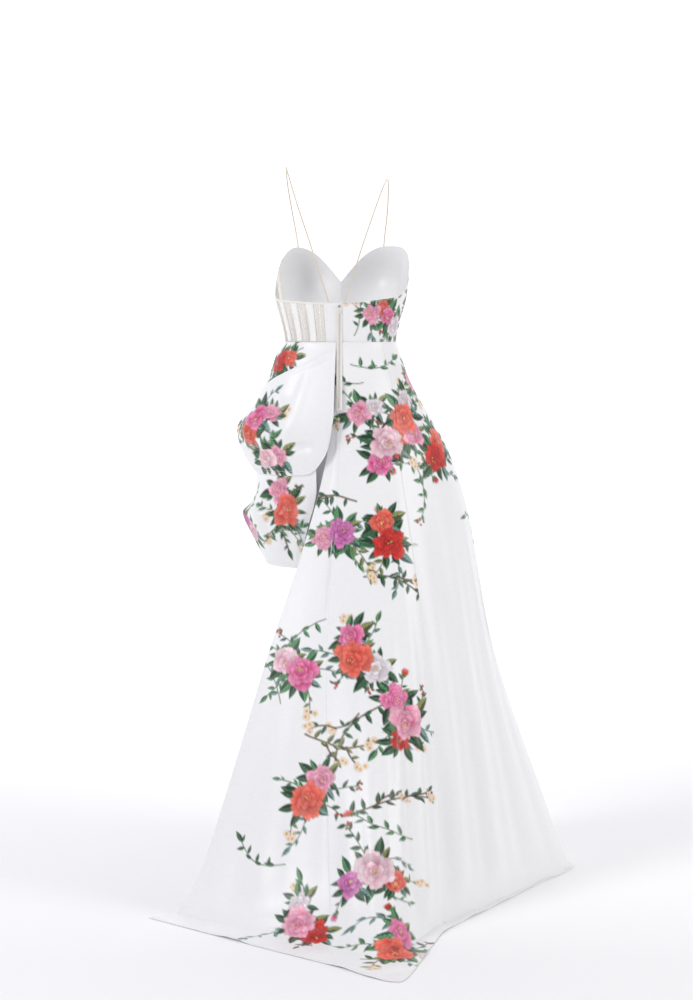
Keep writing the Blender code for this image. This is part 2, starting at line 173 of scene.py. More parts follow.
def build_floor():
    """A pale sweep: flat floor, then a wide curve up behind the dress, glowing towards the back."""
    half, reach, bend, top = 16.0, 5.0, 2.5, 9.0
    level = -SHOULDER_HEIGHT - FLOOR_GAP
    outline = [(-half, level)]
    for i in range(BEND_STEPS + 1):
        a = math.pi / 2 * i / BEND_STEPS
        outline.append((reach + bend * math.sin(a), level + bend * (1 - math.cos(a))))
    outline.append((reach + bend, top))
    points = [(x, y, z) for y, z in outline for x in (-half, half)]
    faces = [(2 * i, 2 * i + 1, 2 * i + 3, 2 * i + 2) for i in range(len(outline) - 1)]
    mesh = bpy.data.meshes.new("floor")
    mesh.from_pydata(points, [], faces)
    mesh.shade_smooth()
    paper, tree, shader = new_material("matt_paper_sweep", {
        "Base Color": (*linear("#f6f6f6"), 1), "Roughness": 0.9, "Emission Color": (1, 1, 1, 1),
    })
    place = add_node(tree, "ShaderNodeTexCoord")
    axes = add_node(tree, "ShaderNodeSeparateXYZ", Vector=place.outputs["Object"])
    glow = add_node(
        tree, "ShaderNodeMapRange", {"From Min": GLOW_START, "From Max": GLOW_END, "To Max": GLOW},
        Value=axes.outputs["Y"],
    )
    tree.links.new(glow.outputs[0], shader.inputs["Emission Strength"])
    mesh.materials.append(paper)
    floor = add_object("floor", mesh)


build_floor()
print("lights:", len(LIGHTS))

# %% [markdown]
# ## The figure and the cut
# All heights are above the floor. Angles run round the body from the centre back (0), over the
# wearer's right (90) to the centre front (180). Short tables give the figure, the edges of each
# panel and the lines of the train, and one function turns a table into a smooth curve.

# %% Tables of the figure and the cut
WAIST_HEIGHT = 1.137
BAND_BACK_TOP = 1.216
CUP_SEAM_HEIGHT = 1.205
ZIP_END_HEIGHT = 1.000
MINI_HEM_HEIGHT = 0.674
CLOTH = 0.0014              # thickness of satin and of net
NET = 0.0010
SEAM_GAP = 0.0003
LAYER = CLOTH + SEAM_GAP
SKIRT_TOP = WAIST_HEIGHT - SEAM_GAP / 2
FLOOR_LIFT = 0.0002

# height, half width, front depth, back depth
FIGURE = [
    (1.400, 0.146, 0.112, 0.084), (1.310, 0.142, 0.116, 0.084), (1.226, 0.134, 0.104, 0.085),
    (1.180, 0.122, 0.092, 0.085), (1.137, 0.1135, 0.086, 0.085), (1.090, 0.126, 0.090, 0.096),
    (1.030, 0.144, 0.096, 0.110), (0.950, 0.154, 0.102, 0.119), (0.800, 0.154, 0.108, 0.118),
    (0.674, 0.149, 0.112, 0.114),
]
# height, reach of the drapery from the body axis at the wearer's left
UPPER_REACH = [
    (1.137, 0.1165), (1.110, 0.134), (1.080, 0.145), (1.040, 0.163), (0.998, 0.186),
    (0.975, 0.207), (0.955, 0.2145), (0.935, 0.2105), (0.900, 0.198), (0.880, 0.187), (0.866, 0.176),
]
LOWER_REACH = [
    (0.880, 0.1740), (0.866, 0.1743), (0.830, 0.1765), (0.802, 0.186), (0.783, 0.202),
    (0.764, 0.198), (0.731, 0.183), (0.700, 0.167), (0.674, 0.1535),
]
# angle, height
PLEAT_BOTTOM = [(-5, 1.120), (-29, 1.094), (-60, 1.062), (-90, 1.036), (-130, 1.040), (-168, 1.060)]
COWL_BOTTOM = [
    (-5, 0.985), (-8, 0.930), (-14, 0.892), (-20, 0.873), (-30, 0.867),
    (-60, 0.866), (-90, 0.866), (-130, 0.872), (-168, 0.890),
]
TOP_EDGE = [
    (-180, 1.262), (-160, 1.318), (-140, 1.334), (-115, 1.290), (-98, 1.240), (-80, 1.227),
    (-50, 1.221), (0, 1.216), (40, 1.224), (62, 1.231), (76, 1.243), (86, 1.262),
    (96, 1.300), (115, 1.330), (140, 1.336), (160, 1.318), (180, 1.262),
]
# height, angle of the lower swag's right edge
SWAG_EDGE = [(0.880, -17), (0.860, -17), (0.840, -17), (0.806, -19), (0.750, -25), (0.674, -33)]
DRAPE_FRONT = -168

HIGH_HIP_LEVELS = [SKIRT_TOP, 1.127, 1.115, 1.102, 1.085, 1.060]
HIP_LEVEL = 0.900
KNEE_LEVEL = 0.450
# waist angle; x, y at the hip, at the knee, where it touches the floor, and at the hem
TRAIN = [
    ("left_edge", -7, -0.030, -0.128, -0.166, -0.205, -0.300, -0.262, -0.382, -0.300),
    ("left_mid", -4, -0.016, -0.130, -0.100, -0.235, -0.160, -0.345, -0.146, -0.505),
    ("centre_seam", 0, -0.003, -0.133, -0.028, -0.255, -0.022, -0.410, -0.009, -0.620),
    ("right_mid", 13, 0.036, -0.133, 0.032, -0.270, 0.045, -0.470, 0.062, -0.692),
    ("back_corner", 24, 0.068, -0.130, 0.082, -0.268, 0.095, -0.480, 0.107, -0.713),
    ("corner_side", 35, 0.094, -0.127, 0.131, -0.246, 0.150, -0.400, 0.172, -0.500),
    ("notch", 47, 0.120, -0.119, 0.180, -0.212, 0.203, -0.320, 0.2076, -0.385),
    ("side_back", 63, 0.172, -0.083, 0.243, -0.140, 0.292, -0.215, 0.306, -0.225),
    ("side_mid", 80, 0.212, -0.038, 0.300, -0.062, 0.386, -0.074, 0.404, -0.064),
    ("right_corner", 96, 0.228, 0.010, 0.335, 0.028, 0.490, 0.098, 0.5045, 0.108),
    ("front_side", 114, 0.202, 0.066, 0.290, 0.124, 0.384, 0.222, 0.396, 0.232),
    ("front_mid", 134, 0.158, 0.108, 0.236, 0.190, 0.314, 0.300, 0.322, 0.312),
    ("front_edge", 154, 0.098, 0.132, 0.158, 0.222, 0.225, 0.318, 0.232, 0.328),
]
# column position, half width in columns, depth, level where the fold starts
TRAIN_FOLDS = [
    (1.00, 0.55, 0.012, 0.60), (3.45, 0.50, 0.010, 0.70), (5.30, 0.55, 0.014, 0.85),
    (6.45, 0.38, 0.016, 0.88), (7.30, 0.40, 0.018, 0.95), (8.20, 0.38, 0.014, 0.90),
    (10.10, 0.45, 0.016, 0.85), (11.10, 0.45, 0.014, 0.85),
]
# angle, height, half angle, half height, depth
COWL_FOLDS = [
    (-46, 0.990, 9, 0.050, 0.010), (-68, 0.915, 13, 0.022, 0.012), (-26, 0.925, 10, 0.016, 0.006),
    (-112, 0.940, 14, 0.040, 0.010), (-140, 0.985, 12, 0.050, 0.008),
]


def smooth(table, column=1):
    """A smooth function through a table's first column and another one."""
    rows = sorted(table)
    xs = np.array([row[0] for row in rows], float)
    ys = np.array([row[column] for row in rows], float)
    steps = np.diff(ys) / np.diff(xs)
    slopes = np.concatenate(([steps[0]], (steps[:-1] + steps[1:]) / 2, [steps[-1]]))
    slopes[np.concatenate(([False], steps[:-1] * steps[1:] <= 0, [False]))] = 0

    def value(x):
        x = np.clip(x, xs[0], xs[-1])
        i = np.clip(np.searchsorted(xs, x) - 1, 0, len(xs) - 2)
        span = xs[i + 1] - xs[i]
        t = (x - xs[i]) / span
        return (
            ys[i] * (1 + 2 * t) * (1 - t) ** 2
            + slopes[i] * span * t * (1 - t) ** 2
            + ys[i + 1] * t * t * (3 - 2 * t)
            + slopes[i + 1] * span * t * t * (t - 1)
        )

    return value


half_width = smooth(FIGURE, 1)
front_depth = smooth(FIGURE, 2)
back_depth = smooth(FIGURE, 3)
upper_reach = smooth(UPPER_REACH)
lower_reach = smooth(LOWER_REACH)
pleat_bottom = smooth(PLEAT_BOTTOM)
cowl_bottom = smooth(COWL_BOTTOM)
swag_edge = smooth(SWAG_EDGE)
top_edge = smooth(TOP_EDGE)


def between(start, end, share):
    """The value at a share of the way."""
    return start + (end - start) * share


def ease(t):
    """A smooth step from 0 to 1."""
    t = np.clip(t, 0.0, 1.0)
    return t * t * (3 - 2 * t)


def bump(distance):
    """A smooth hill, 1 in the middle and 0 from a distance of 1."""
    return np.cos(np.clip(np.abs(distance), 0, 1) * np.pi / 2) ** 2


def on_figure(angle, height, out=0.0):
    """Points on the figure at these angles and heights, moved out by a distance."""
    a, height, out = np.broadcast_arrays(np.radians(angle), height, out)
    wide = half_width(height)
    deep = np.where(np.cos(a) > 0, back_depth(height), front_depth(height))
    nx = np.sin(a) / wide
    ny = -np.cos(a) / deep
    length = np.hypot(nx, ny)
    x = wide * np.sin(a) + nx / length * out
    y = -deep * np.cos(a) + ny / length * out
    return np.stack([x, y, height], axis=-1)


waist = on_figure(np.linspace(0, 360, 181), WAIST_HEIGHT)
print("waist round:", round(float(np.linalg.norm(np.diff(waist, axis=0), axis=1).sum()), 3), "m")

# %% [markdown]
# ## From a surface to cloth
# Cloth could be one bare sheet, but its cut edges would have no thickness. Each panel is a
# closed wall instead: a fine grid outside, which carries the print, and a coarser plain one
# inside, as the wrong side of satin is. A band of faces joins the two along the edges.

# %% Grids, normals and walls
def grid(rows, columns, point):
    """What point(across, down) gives over a surface, with both running from 0 to 1."""
    down, across = np.meshgrid(
        np.linspace(0, 1, rows + 1), np.linspace(0, 1, columns + 1), indexing="ij"
    )
    return point(across, down)


def outward(points, level_rows=None):
    """Unit normals of a grid whose columns run to the wearer's right and rows down.

    Those in level_rows are kept level."""
    normal = np.cross(np.gradient(points, axis=0), np.gradient(points, axis=1))
    if level_rows is not None:
        normal[level_rows, :, 2] = 0
    return normal / np.linalg.norm(normal, axis=2)[:, :, None]


TURN = 6.28                 # one turn in radians, for phases and directions drawn at random
WAVES = 7
UPRIGHT = 0.45              # less than 1 makes most waves run round, so that ripples hang down


def ripples(points, seed, size, height):
    """Uneven soft ripples: a few crossing waves whose directions and lengths are drawn once."""
    draw = np.random.default_rng(seed)
    total = np.zeros(points.shape[:-1])
    for _ in range(WAVES):
        direction = draw.normal(size=3)
        direction[2] *= UPRIGHT
        direction /= np.linalg.norm(direction)
        wave = 2 * np.pi / (size * draw.uniform(0.6, 1.6))
        total += np.sin(points @ direction * wave + draw.uniform(0, TURN))
    return total / WAVES * height


INSIDE_STEP = 4             # the inner grid has one step for each four of the outer one
CREASE_SIZE = 0.09          # the mean length of the soft ripples in stiff satin
CLOTH_SHARP = 50            # degrees from which an edge is drawn sharp, on cloth and on solids
SOLID_SHARP = 40


def new_mesh(name, points, loops, sizes):
    """A mesh from flat arrays: all corner indices in a row, and the size of each face."""
    mesh = bpy.data.meshes.new(name)
    mesh.vertices.add(len(points))
    mesh.vertices.foreach_set("co", points.astype(np.float32).ravel())
    mesh.loops.add(len(loops))
    mesh.loops.foreach_set("vertex_index", loops.astype(np.int32))
    mesh.polygons.add(len(sizes))
    mesh.polygons.foreach_set("loop_start", (np.cumsum(sizes) - sizes).astype(np.int32))
    mesh.polygons.foreach_set("loop_total", sizes.astype(np.int32))
    mesh.update(calc_edges=True)
    mesh.validate()
    return mesh


def quads(ids, flip=False):
    """The corners of a grid's faces, seen from outside."""
    a, b, c, d = ids[:-1, :-1], ids[1:, :-1], ids[1:, 1:], ids[:-1, 1:]
    order = (a, d, c, b) if flip else (a, b, c, d)
    return np.stack(order, axis=-1).reshape(-1, 4)


def cloth_wall(name, outer, inner):
    """A closed wall. inner has one step for each INSIDE_STEP of outer's, both ways."""
    rows, columns = outer.shape[:2]
    front = np.arange(rows * columns).reshape(rows, columns)
    back = np.arange(inner.shape[0] * inner.shape[1]).reshape(inner.shape[:2]) + front.size
    loops = [quads(front).ravel(), quads(back, flip=True).ravel()]
    sizes = [np.full(len(loops[0]) // 4, 4), np.full(len(loops[1]) // 4, 4)]
    edges = [
        (front[0, ::-1], back[0, ::-1]), (front[-1], back[-1]),
        (front[:, 0], back[:, 0]), (front[::-1, -1], back[::-1, -1]),
    ]
    for fine, coarse in edges:
        for i in range(len(coarse) - 1):
            run = fine[i * INSIDE_STEP:(i + 1) * INSIDE_STEP + 1]
            loops.append(np.concatenate([run[::-1], [coarse[i], coarse[i + 1]]]))
            sizes.append(np.array([len(run) + 2]))
    points = np.concatenate([outer.reshape(-1, 3), inner.reshape(-1, 3)])
    points[:, 2] -= SHOULDER_HEIGHT
    return new_mesh(name, points, np.concatenate(loops), np.concatenate(sizes))


class Panel:
    """A cloth panel: its outer and inner points, their places in the cut, and its colours.

    laid holds the outer points before the folds, where the print is measured."""

    def __init__(self, name, outer, inner, across, down, group, laid=None):
        self.name = name
        self.group = group
        self.outer = outer
        self.laid = outer if laid is None else laid
        self.inner = inner[::INSIDE_STEP, ::INSIDE_STEP]
        self.across = across
        self.down = down
        self.colour = np.ones((outer.shape[0] * outer.shape[1], 3))

    def build(self, material, replaces, slot):
        """The panel's wall, which stands for its solid."""
        mesh = cloth_wall(self.name + "_cloth", self.outer, self.inner)
        colours = np.ones((len(mesh.vertices), 4))
        colours[:len(self.colour), :3] = self.colour
        layer = mesh.color_attributes.new("print", "FLOAT_COLOR", "POINT")
        layer.data.foreach_set("color", colours.astype(np.float32).ravel())
        mesh.materials.append(material)
        mesh.shade_smooth()
        mesh.set_sharp_from_angle(angle=math.radians(CLOTH_SHARP))
        piece = add_object(self.name + "_cloth", mesh)
        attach(piece, "root")
        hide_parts(replaces)
        return piece


def rounded(count):
    """The nearest count that the inner grid's step divides."""
    return max(1, round(count / INSIDE_STEP)) * INSIDE_STEP


def figure_panel(name, rows, columns, point, thickness, lift, group, crease=0.0, seed=1):
    """A panel that lies on the figure, given by a function of across and down."""
    rows, columns = rounded(rows), rounded(columns)
    surface, angle = grid(rows, columns, point)
    normals = outward(surface, slice(None))
    inner = surface + normals * lift
    if crease:
        soft = ripples(surface, seed, CREASE_SIZE, crease)[:, :, None] * normals
        inner[1:-1, 1:-1] += soft[1:-1, 1:-1]
    return Panel(name, inner + normals * thickness, inner, angle, inner[:, :, 2], group)


print("grids ready")

# %% [markdown]
# ## The train
# The train is cut as four gores: two printed ones that meet at the centre back, a plain white
# side gore and a printed front one. Each vertical line of the train is a path: down the hip,
# out to the floor, then along it to the hem. The gores read those paths at close steps.

# %% Train surface
TRAIN_TOP = LAYER + CLOTH
SEAM_SLIT = 0.00005         # the gores nearly touch, and dip where their seam pulls them in
SEAM_DIP = 0.0005
HIP_FLARE = 0.04            # how fast the train leaves the figure below the waist
LONG_ROWS = 15
FLOOR_ROWS = 5
SMOOTHINGS = 6              # of the turn from the hang to the floor
train_line = [smooth([(i, row[c]) for i, row in enumerate(TRAIN)]) for c in range(1, 10)]


def train_path(position):
    """Points down one line of the train: the hang from waist to floor, then the floor to the hem."""
    angle, hip_x, hip_y, knee_x, knee_y, ground_x, ground_y, hem_x, hem_y = (
        line(position) for line in train_line
    )
    floor = CLOTH + FLOOR_LIFT
    high = np.array(HIGH_HIP_LEVELS)
    top = on_figure(angle, high, TRAIN_TOP + (WAIST_HEIGHT - high) * HIP_FLARE)
    levels = [(z, x, y) for x, y, z in top]
    levels += [(HIP_LEVEL, hip_x, hip_y), (KNEE_LEVEL, knee_x, knee_y), (floor, ground_x, ground_y)]
    heights = np.concatenate([high, np.linspace(high[-1], floor, LONG_ROWS + 1)[1:-1]])
    hang = np.stack([smooth(levels, 1)(heights), smooth(levels, 2)(heights), heights], axis=1)
    share = np.linspace(0, 1, FLOOR_ROWS + 1)
    lying = np.stack([
        between(ground_x, hem_x, share), between(ground_y, hem_y, share),
        np.full(FLOOR_ROWS + 1, floor),
    ], axis=1)
    path = np.concatenate([hang, lying])
    turn = len(hang)
    for _ in range(SMOOTHINGS):
        low = slice(turn - 3, turn + 2)
        path[low] = (path[turn - 4:turn + 1] + path[low] + path[turn - 2:turn + 3]) / 3
    return path


def finer(path, rows):
    """The same path with evenly spread points."""
    along = np.concatenate([[0], np.cumsum(np.linalg.norm(np.diff(path, axis=0), axis=1))])
    places = np.linspace(0, along[-1], rows + 1)
    return np.stack([smooth(list(zip(along, path[:, k])))(places) for k in range(3)], axis=1)


# small folds that only the finer cloth shows: column position, half width, depth, starting level
SMALL_FOLDS = [
    (0.35, 0.26, 0.004, 0.50), (1.60, 0.32, 0.005, 0.45), (2.55, 0.34, 0.005, 0.40),
    (4.55, 0.34, 0.006, 0.70), (5.80, 0.26, 0.006, 0.80), (6.85, 0.24, 0.006, 0.86),
    (7.75, 0.26, 0.007, 0.84), (8.62, 0.22, 0.006, 0.88), (9.50, 0.26, 0.007, 0.80),
    (10.65, 0.26, 0.006, 0.75), (11.60, 0.26, 0.006, 0.70),
]
FLOOR_FADE = 0.10           # the height above the floor over which folds fade out
SOFT_SIZE = 0.24            # the uneven swell between the folds: its length, depth and fade
SOFT_DEPTH = 0.0034
SOFT_FADE = 0.4
RIPPLE_SIZE = 0.11          # the hem's ripples on the floor: length, height, limit and fade
RIPPLE_HEIGHT = 0.006
RIPPLE_LIMIT = 0.003
RIPPLE_FADE = 0.05


def fold_out(position, height):
    """How far the folds push the train out at these places."""
    out = np.zeros(np.broadcast(position, height).shape)
    for middle, half, depth, start in TRAIN_FOLDS + SMALL_FOLDS:
        growth = ease((start - height) / start) * ease(height / FLOOR_FADE)
        out += depth * growth * bump((position - middle) / half)
    return out


def train_gore(name, first, last, columns, rows):
    """One gore of the train. Its neighbours' next columns are taken in for even normals."""
    columns, rows = rounded(columns), rounded(rows)
    step = (last - first) / columns
    positions = first + step * np.arange(-1, columns + 2)
    surface = np.stack([finer(train_path(p), rows) for p in positions], axis=1)
    if first == 0:
        surface[:, 0] = 2 * surface[:, 1] - surface[:, 2]
    if last == len(TRAIN) - 1:
        surface[:, -1] = 2 * surface[:, -2] - surface[:, -3]
    laid = surface[:, 1:-1].copy()
    normals = outward(surface)
    push = fold_out(positions[None, :], surface[:, :, 2])
    soft = ripples(surface, 11, SOFT_SIZE, SOFT_DEPTH)
    soft *= ease((SKIRT_TOP - surface[:, :, 2]) / SOFT_FADE)
    push += soft * ease(surface[:, :, 2] / FLOOR_FADE)
    surface[:, :, :2] += normals[:, :, :2] * push[:, :, None]
    wavy = np.clip(ripples(surface, 12, RIPPLE_SIZE, RIPPLE_HEIGHT), 0, RIPPLE_LIMIT)
    surface[:, :, 2] += (1 - ease(surface[:, :, 2] / RIPPLE_FADE)) * wavy
    normals = outward(surface, slice(0, 1))
    surface, normals, positions = surface[:, 1:-1], normals[:, 1:-1], positions[1:-1]
    for edge, inside in ((0, 1), (-1, -2)):
        along = surface[:, inside] - surface[:, edge]
        along /= np.linalg.norm(along, axis=1)[:, None]
        surface[:, edge] += along * SEAM_SLIT - normals[:, edge] * SEAM_DIP
    inner = surface - normals * CLOTH
    inner[:, :, 2] = np.maximum(inner[:, :, 2], FLOOR_LIFT)
    share = np.linspace(0, 1, rows + 1)
    across = np.broadcast_to(positions[None, :], surface.shape[:2])
    down = np.broadcast_to(share[:, None], surface.shape[:2])
    return Panel(name, surface, inner, across, down, "train", laid)


GORES = [
    # name, first and last column position, columns, rows
    ("train_back_left", 0.0, 2.0, 136, 600),
    ("train_back_right", 2.0, 6.0, 152, 560),
    ("train_side", 6.0, 8.75, 144, 380),
    ("train_front", 8.75, 12.0, 132, 420),
]
panels = [train_gore(*gore) for gore in GORES]
print("train points:", sum(p.outer.shape[0] * p.outer.shape[1] for p in panels))

# %% [markdown]
# ## The draped hip
# A maker folds a wide piece of stiff satin into a pleat at the waist, lets a cowl stand away
# from the hip, and tucks a second swag under it. Cloth simulation could drape such pieces, but
# set folds come out more surely when given one by one: the reach tables give how far each piece
# stands out at the side, and soft troughs and ridges pressed into it follow the folds of the real one.

# %% Drapery and skirt panels
TRAIN_COVER = 0.0145        # room for the train's edge under the drapery
DRAPE_EDGE = 0.0096         # from the centre back to the drapery's edge at the zip
COWL_LAP = 0.005
SWAG_TOP = 0.880
HEM_EASE = 0.0030
ZIP_LEFT = -4.9
STAND_SLOPE = 0.05          # the drapery leaves the figure at this slope, over this drop
STAND_DROP = 0.05
COVER_DROP = 0.16           # drop below the waist from which it covers the train's edge in full


def around(across):
    """Angles from the drapery's front end to the zip."""
    return between(DRAPE_FRONT, ZIP_LEFT, across)


def side_weight(angle):
    """How much of its side reach the drapery has: all from 80 to 104 degrees, none at its ends."""
    turn = np.abs(angle)
    return np.where(turn < 90, ease((turn - 4) / 76), ease((178 - turn) / 74))


def drape_point(angle, height, reach, clearance, under=0.0):
    """Points of the drapery, which stands out to its reach at the side."""
    fullness = np.maximum(0.0, reach(height) - under - half_width(height) - clearance)
    return on_figure(angle, height, clearance + fullness * side_weight(angle))


def stand_off(height):
    """How far the drapery stays off the figure, over the short skirt and the train's edge."""
    drop = WAIST_HEIGHT - height
    slope = STAND_SLOPE * np.minimum(drop, STAND_DROP)
    return 2 * LAYER + slope + TRAIN_COVER * ease(drop / COVER_DROP)


def beside_zip(angle, height):
    """The same angles, kept to the left of the zip."""
    return np.minimum(angle, -np.degrees(np.arcsin(DRAPE_EDGE / half_width(height))))


# finer folds of the cowl and the swag: angle, height, half angle, half height, lean in degrees
# for each metre of height, depth; each is a trough with a lower ridge beside it
COWL_CREASES = [
    (-40, 1.000, 6.5, 0.120, 55, 0.0042),
    (-60, 0.945, 8.0, 0.085, 90, 0.0055), (-79, 0.975, 8.0, 0.070, -95, 0.0055),
    (-101, 0.920, 9.0, 0.060, 120, 0.0055), (-124, 0.985, 8.0, 0.095, 60, 0.0055),
    (-150, 0.950, 9.0, 0.100, -50, 0.0045),
]
SWAG_CREASES = [
    (-52, 0.785, 8.0, 0.085, 70, 0.0055), (-73, 0.765, 8.5, 0.075, -95, 0.0060),
    (-38, 0.745, 6.0, 0.070, 45, 0.0035), (-94, 0.800, 9.0, 0.070, 100, 0.0055),
    (-119, 0.770, 10.0, 0.090, -60, 0.0060), (-146, 0.765, 9.0, 0.095, 50, 0.0055),
]
ROLL = 0.0032               # the cowl's upper edge is a soft roll over the pleat
ROLL_MIDDLE = 0.035         # its middle and half width, as shares of the cowl's length
ROLL_HALF = 0.05
RIDGE = 0.45                # a crease's ridge: its height against the trough, and its place
RIDGE_PLACE = 1.2
FAR_SIDE = 0.7              # a trough is wider on the side away from its ridge


def pressed(folds, angle, height):
    """How far in the broad folds lie."""
    press = np.zeros(np.shape(angle))
    for middle, level, half_angle, half_height, depth in folds:
        press += depth * bump((angle - middle) / half_angle) * bump((height - level) / half_height)
    return press


def creased(creases, angle, height):
    """How far in the finer folds lie. A negative value is a ridge."""
    inward = np.zeros(np.shape(angle))
    for middle, level, half_angle, half_height, lean, depth in creases:
        side_on = (angle - middle - lean * (height - level)) / half_angle
        trough = bump(np.where(side_on > 0, side_on, FAR_SIDE * side_on))
        shape = trough - RIDGE * bump(side_on - RIDGE_PLACE)
        inward += depth * bump((height - level) / half_height) * shape
    return inward


def press_in(place, angle, height, depth):
    """Points moved towards the body."""
    inward = on_figure(angle, height) - on_figure(angle, height, 1.0)
    return place + inward * depth[..., None]


def pleat_point(across, down):
    angle = around(across)
    height = between(SKIRT_TOP, pleat_bottom(angle), down)
    angle = beside_zip(angle, height)
    return drape_point(angle, height, upper_reach, stand_off(height), LAYER), angle


def cowl_point(across, down):
    angle = around(across)
    height = between(pleat_bottom(angle) + COWL_LAP, cowl_bottom(angle), down)
    angle = beside_zip(angle, height)
    press = pressed(COWL_FOLDS, angle, height) + creased(COWL_CREASES, angle, height)
    rolled = ROLL * bump((down - ROLL_MIDDLE) / ROLL_HALF) * ease((-angle - 6) / 14)
    place = drape_point(angle, height, upper_reach, stand_off(height) + LAYER + rolled)
    return press_in(place, angle, height, press), angle


def swag_point(across, down):
    height = between(SWAG_TOP, MINI_HEM_HEIGHT, down)
    angle = between(DRAPE_FRONT, swag_edge(height), across)
    clearance = between(HEM_EASE, stand_off(SWAG_TOP), 1 - down)
    press = creased(SWAG_CREASES, angle, height) * bump(2 * down - 1)
    place = drape_point(angle, height, lower_reach, clearance)
    return press_in(place, angle, height, press), angle


MINI_LEVELS = [*HIGH_HIP_LEVELS, 1.010, 0.930, 0.800, MINI_HEM_HEIGHT]


def skirt_point(start, end):
    """A panel of the short skirt between two angles."""
    def point(across, down):
        angle = between(start, end, across)
        height = np.interp(down, np.linspace(0, 1, len(MINI_LEVELS)), MINI_LEVELS)
        return on_figure(angle, height), angle
    return point


panels += [
    figure_panel("hip_pleat", 32, 160, pleat_point, CLOTH, 0.0, "pleat"),
    figure_panel("upper_cowl", 92, 176, cowl_point, CLOTH, SEAM_GAP, "cowl", 0.0010, 21),
    figure_panel("lower_swag", 80, 160, swag_point, CLOTH, 0.0, "swag", 0.0009, 22),
    figure_panel("mini_back_left", 36, 36, skirt_point(-89.9, -0.1), CLOTH, 0.0, "under"),
    figure_panel("mini_back_right", 36, 36, skirt_point(0.1, 89.9), CLOTH, 0.0, "under"),
    figure_panel("mini_front", 120, 132, skirt_point(90.1, 269.9), CLOTH, 0.0, "mini"),
]
print("panels so far:", len(panels))

# %% [markdown]
# ## The corset
# The band is cut in seven panels between vertical seams: sheer net on the wearer's left and
# printed satin on the right. Two domed cups stand on it in front. Each panel's edges come from
# the same top-edge table, so that neighbours meet.

# %% Band and cup panels
PLACKET_LEFT = -15.5
CUP_APEX_ANGLE = 146        # the cup's dome: its top, fullness and half sizes
CUP_APEX_HEIGHT = 1.262
CUP_FULLNESS = 0.030
CUP_HALF_ANGLE = 36
CUP_HALF_HEIGHT = 0.085
ANGLE_TRIM = math.degrees(SEAM_GAP / 2 / float(half_width(WAIST_HEIGHT)))


def below_cup(angle):
    """The top edge of a band panel under a cup."""
    return np.full(np.shape(angle), CUP_SEAM_HEIGHT - SEAM_GAP / 2)


def band_point(start, end, top, bottom, fullness):
    """A panel of the band, or a domed cup, a seam's gap away from its neighbours."""
    def point(across, down):
        angle = between(start + ANGLE_TRIM, end - ANGLE_TRIM, across)
        height = between(top(angle), bottom + SEAM_GAP / 2, down)
        round_way = bump((np.abs(angle) - CUP_APEX_ANGLE) / CUP_HALF_ANGLE)
        up_way = bump((height - CUP_APEX_HEIGHT) / CUP_HALF_HEIGHT)
        return on_figure(angle, height, fullness * round_way * up_way), angle
    return point


CUP = (CUP_SEAM_HEIGHT, CUP_FULLNESS)
FLAT = (WAIST_HEIGHT, 0.0)
BAND = [
    # name, start angle, end angle, top edge, bottom and fullness, wall, group, rows, columns
    ("net_back_left", -55, PLACKET_LEFT, top_edge, FLAT, NET, "net", 16, 20),
    ("net_side_left", -115, -55, top_edge, FLAT, NET, "net", 20, 28),
    ("net_front_left", -180, -115, below_cup, FLAT, NET, "net", 16, 32),
    ("placket_left", PLACKET_LEFT, -1.6, top_edge, FLAT, CLOTH, "under", 24, 12),
    ("satin_back_right", -1.4, 55, top_edge, FLAT, CLOTH, "band", 48, 56),
    ("satin_side_right", 55, 115, top_edge, FLAT, CLOTH, "band", 48, 56),
    ("satin_front_right", 115, 180, below_cup, FLAT, CLOTH, "band", 48, 60),
    ("cup_left", -180, -115, top_edge, CUP, CLOTH, "cups", 52, 64),
    ("cup_right", 115, 180, top_edge, CUP, CLOTH, "cups", 52, 64),
]
for name, start, end, top, form, wall, group, rows, columns in BAND:
    point = band_point(start, end, top, *form)
    panels.append(figure_panel(name, rows, columns, point, wall, 0.0, group))
by_name = {panel.name: panel for panel in panels}
print("cloth panels:", len(panels))

# %% [markdown]
# ## The print
# The satin carries a garden-flower print. An image texture could hold it, but a painted one
# stays sharp at any size and follows the cut. So the motifs are painted on the cloth's own
# points: leaves, stems, blooms and buds, each a few soft-edged shapes in flat colours, laid
# over each other as block colours are in screen printing. The layout is this dress's own.

# %% Brushes
MM = 0.001
FARTHEST = 3.0              # the most that a steep surface may stretch the flat view of it
NEARLY_LEVEL = 0.8          # cloth whose normal rises more than this lies on the floor
TURNED_AWAY = -0.1
BED_RADIUS = 0.22           # metres of cloth round a bouquet's leaves, its blooms and a branch
BLOOM_RADIUS = 0.14
BRANCH_EDGE = 0.05

# in millimetres on the cloth
SOFT_EDGE = 1.3             # a shape's edge fades as far as this to each side
VEIN_STEP = 1.35
RIB_HALF = 0.7
SHADOW_REACH = 2.2
RIM = 1.6

# how strongly they are laid over the motif's body
VEIN_INK = 0.34
RIB_INK = 0.75
SHADOW_INK = 0.42
RIM_INK = 0.55

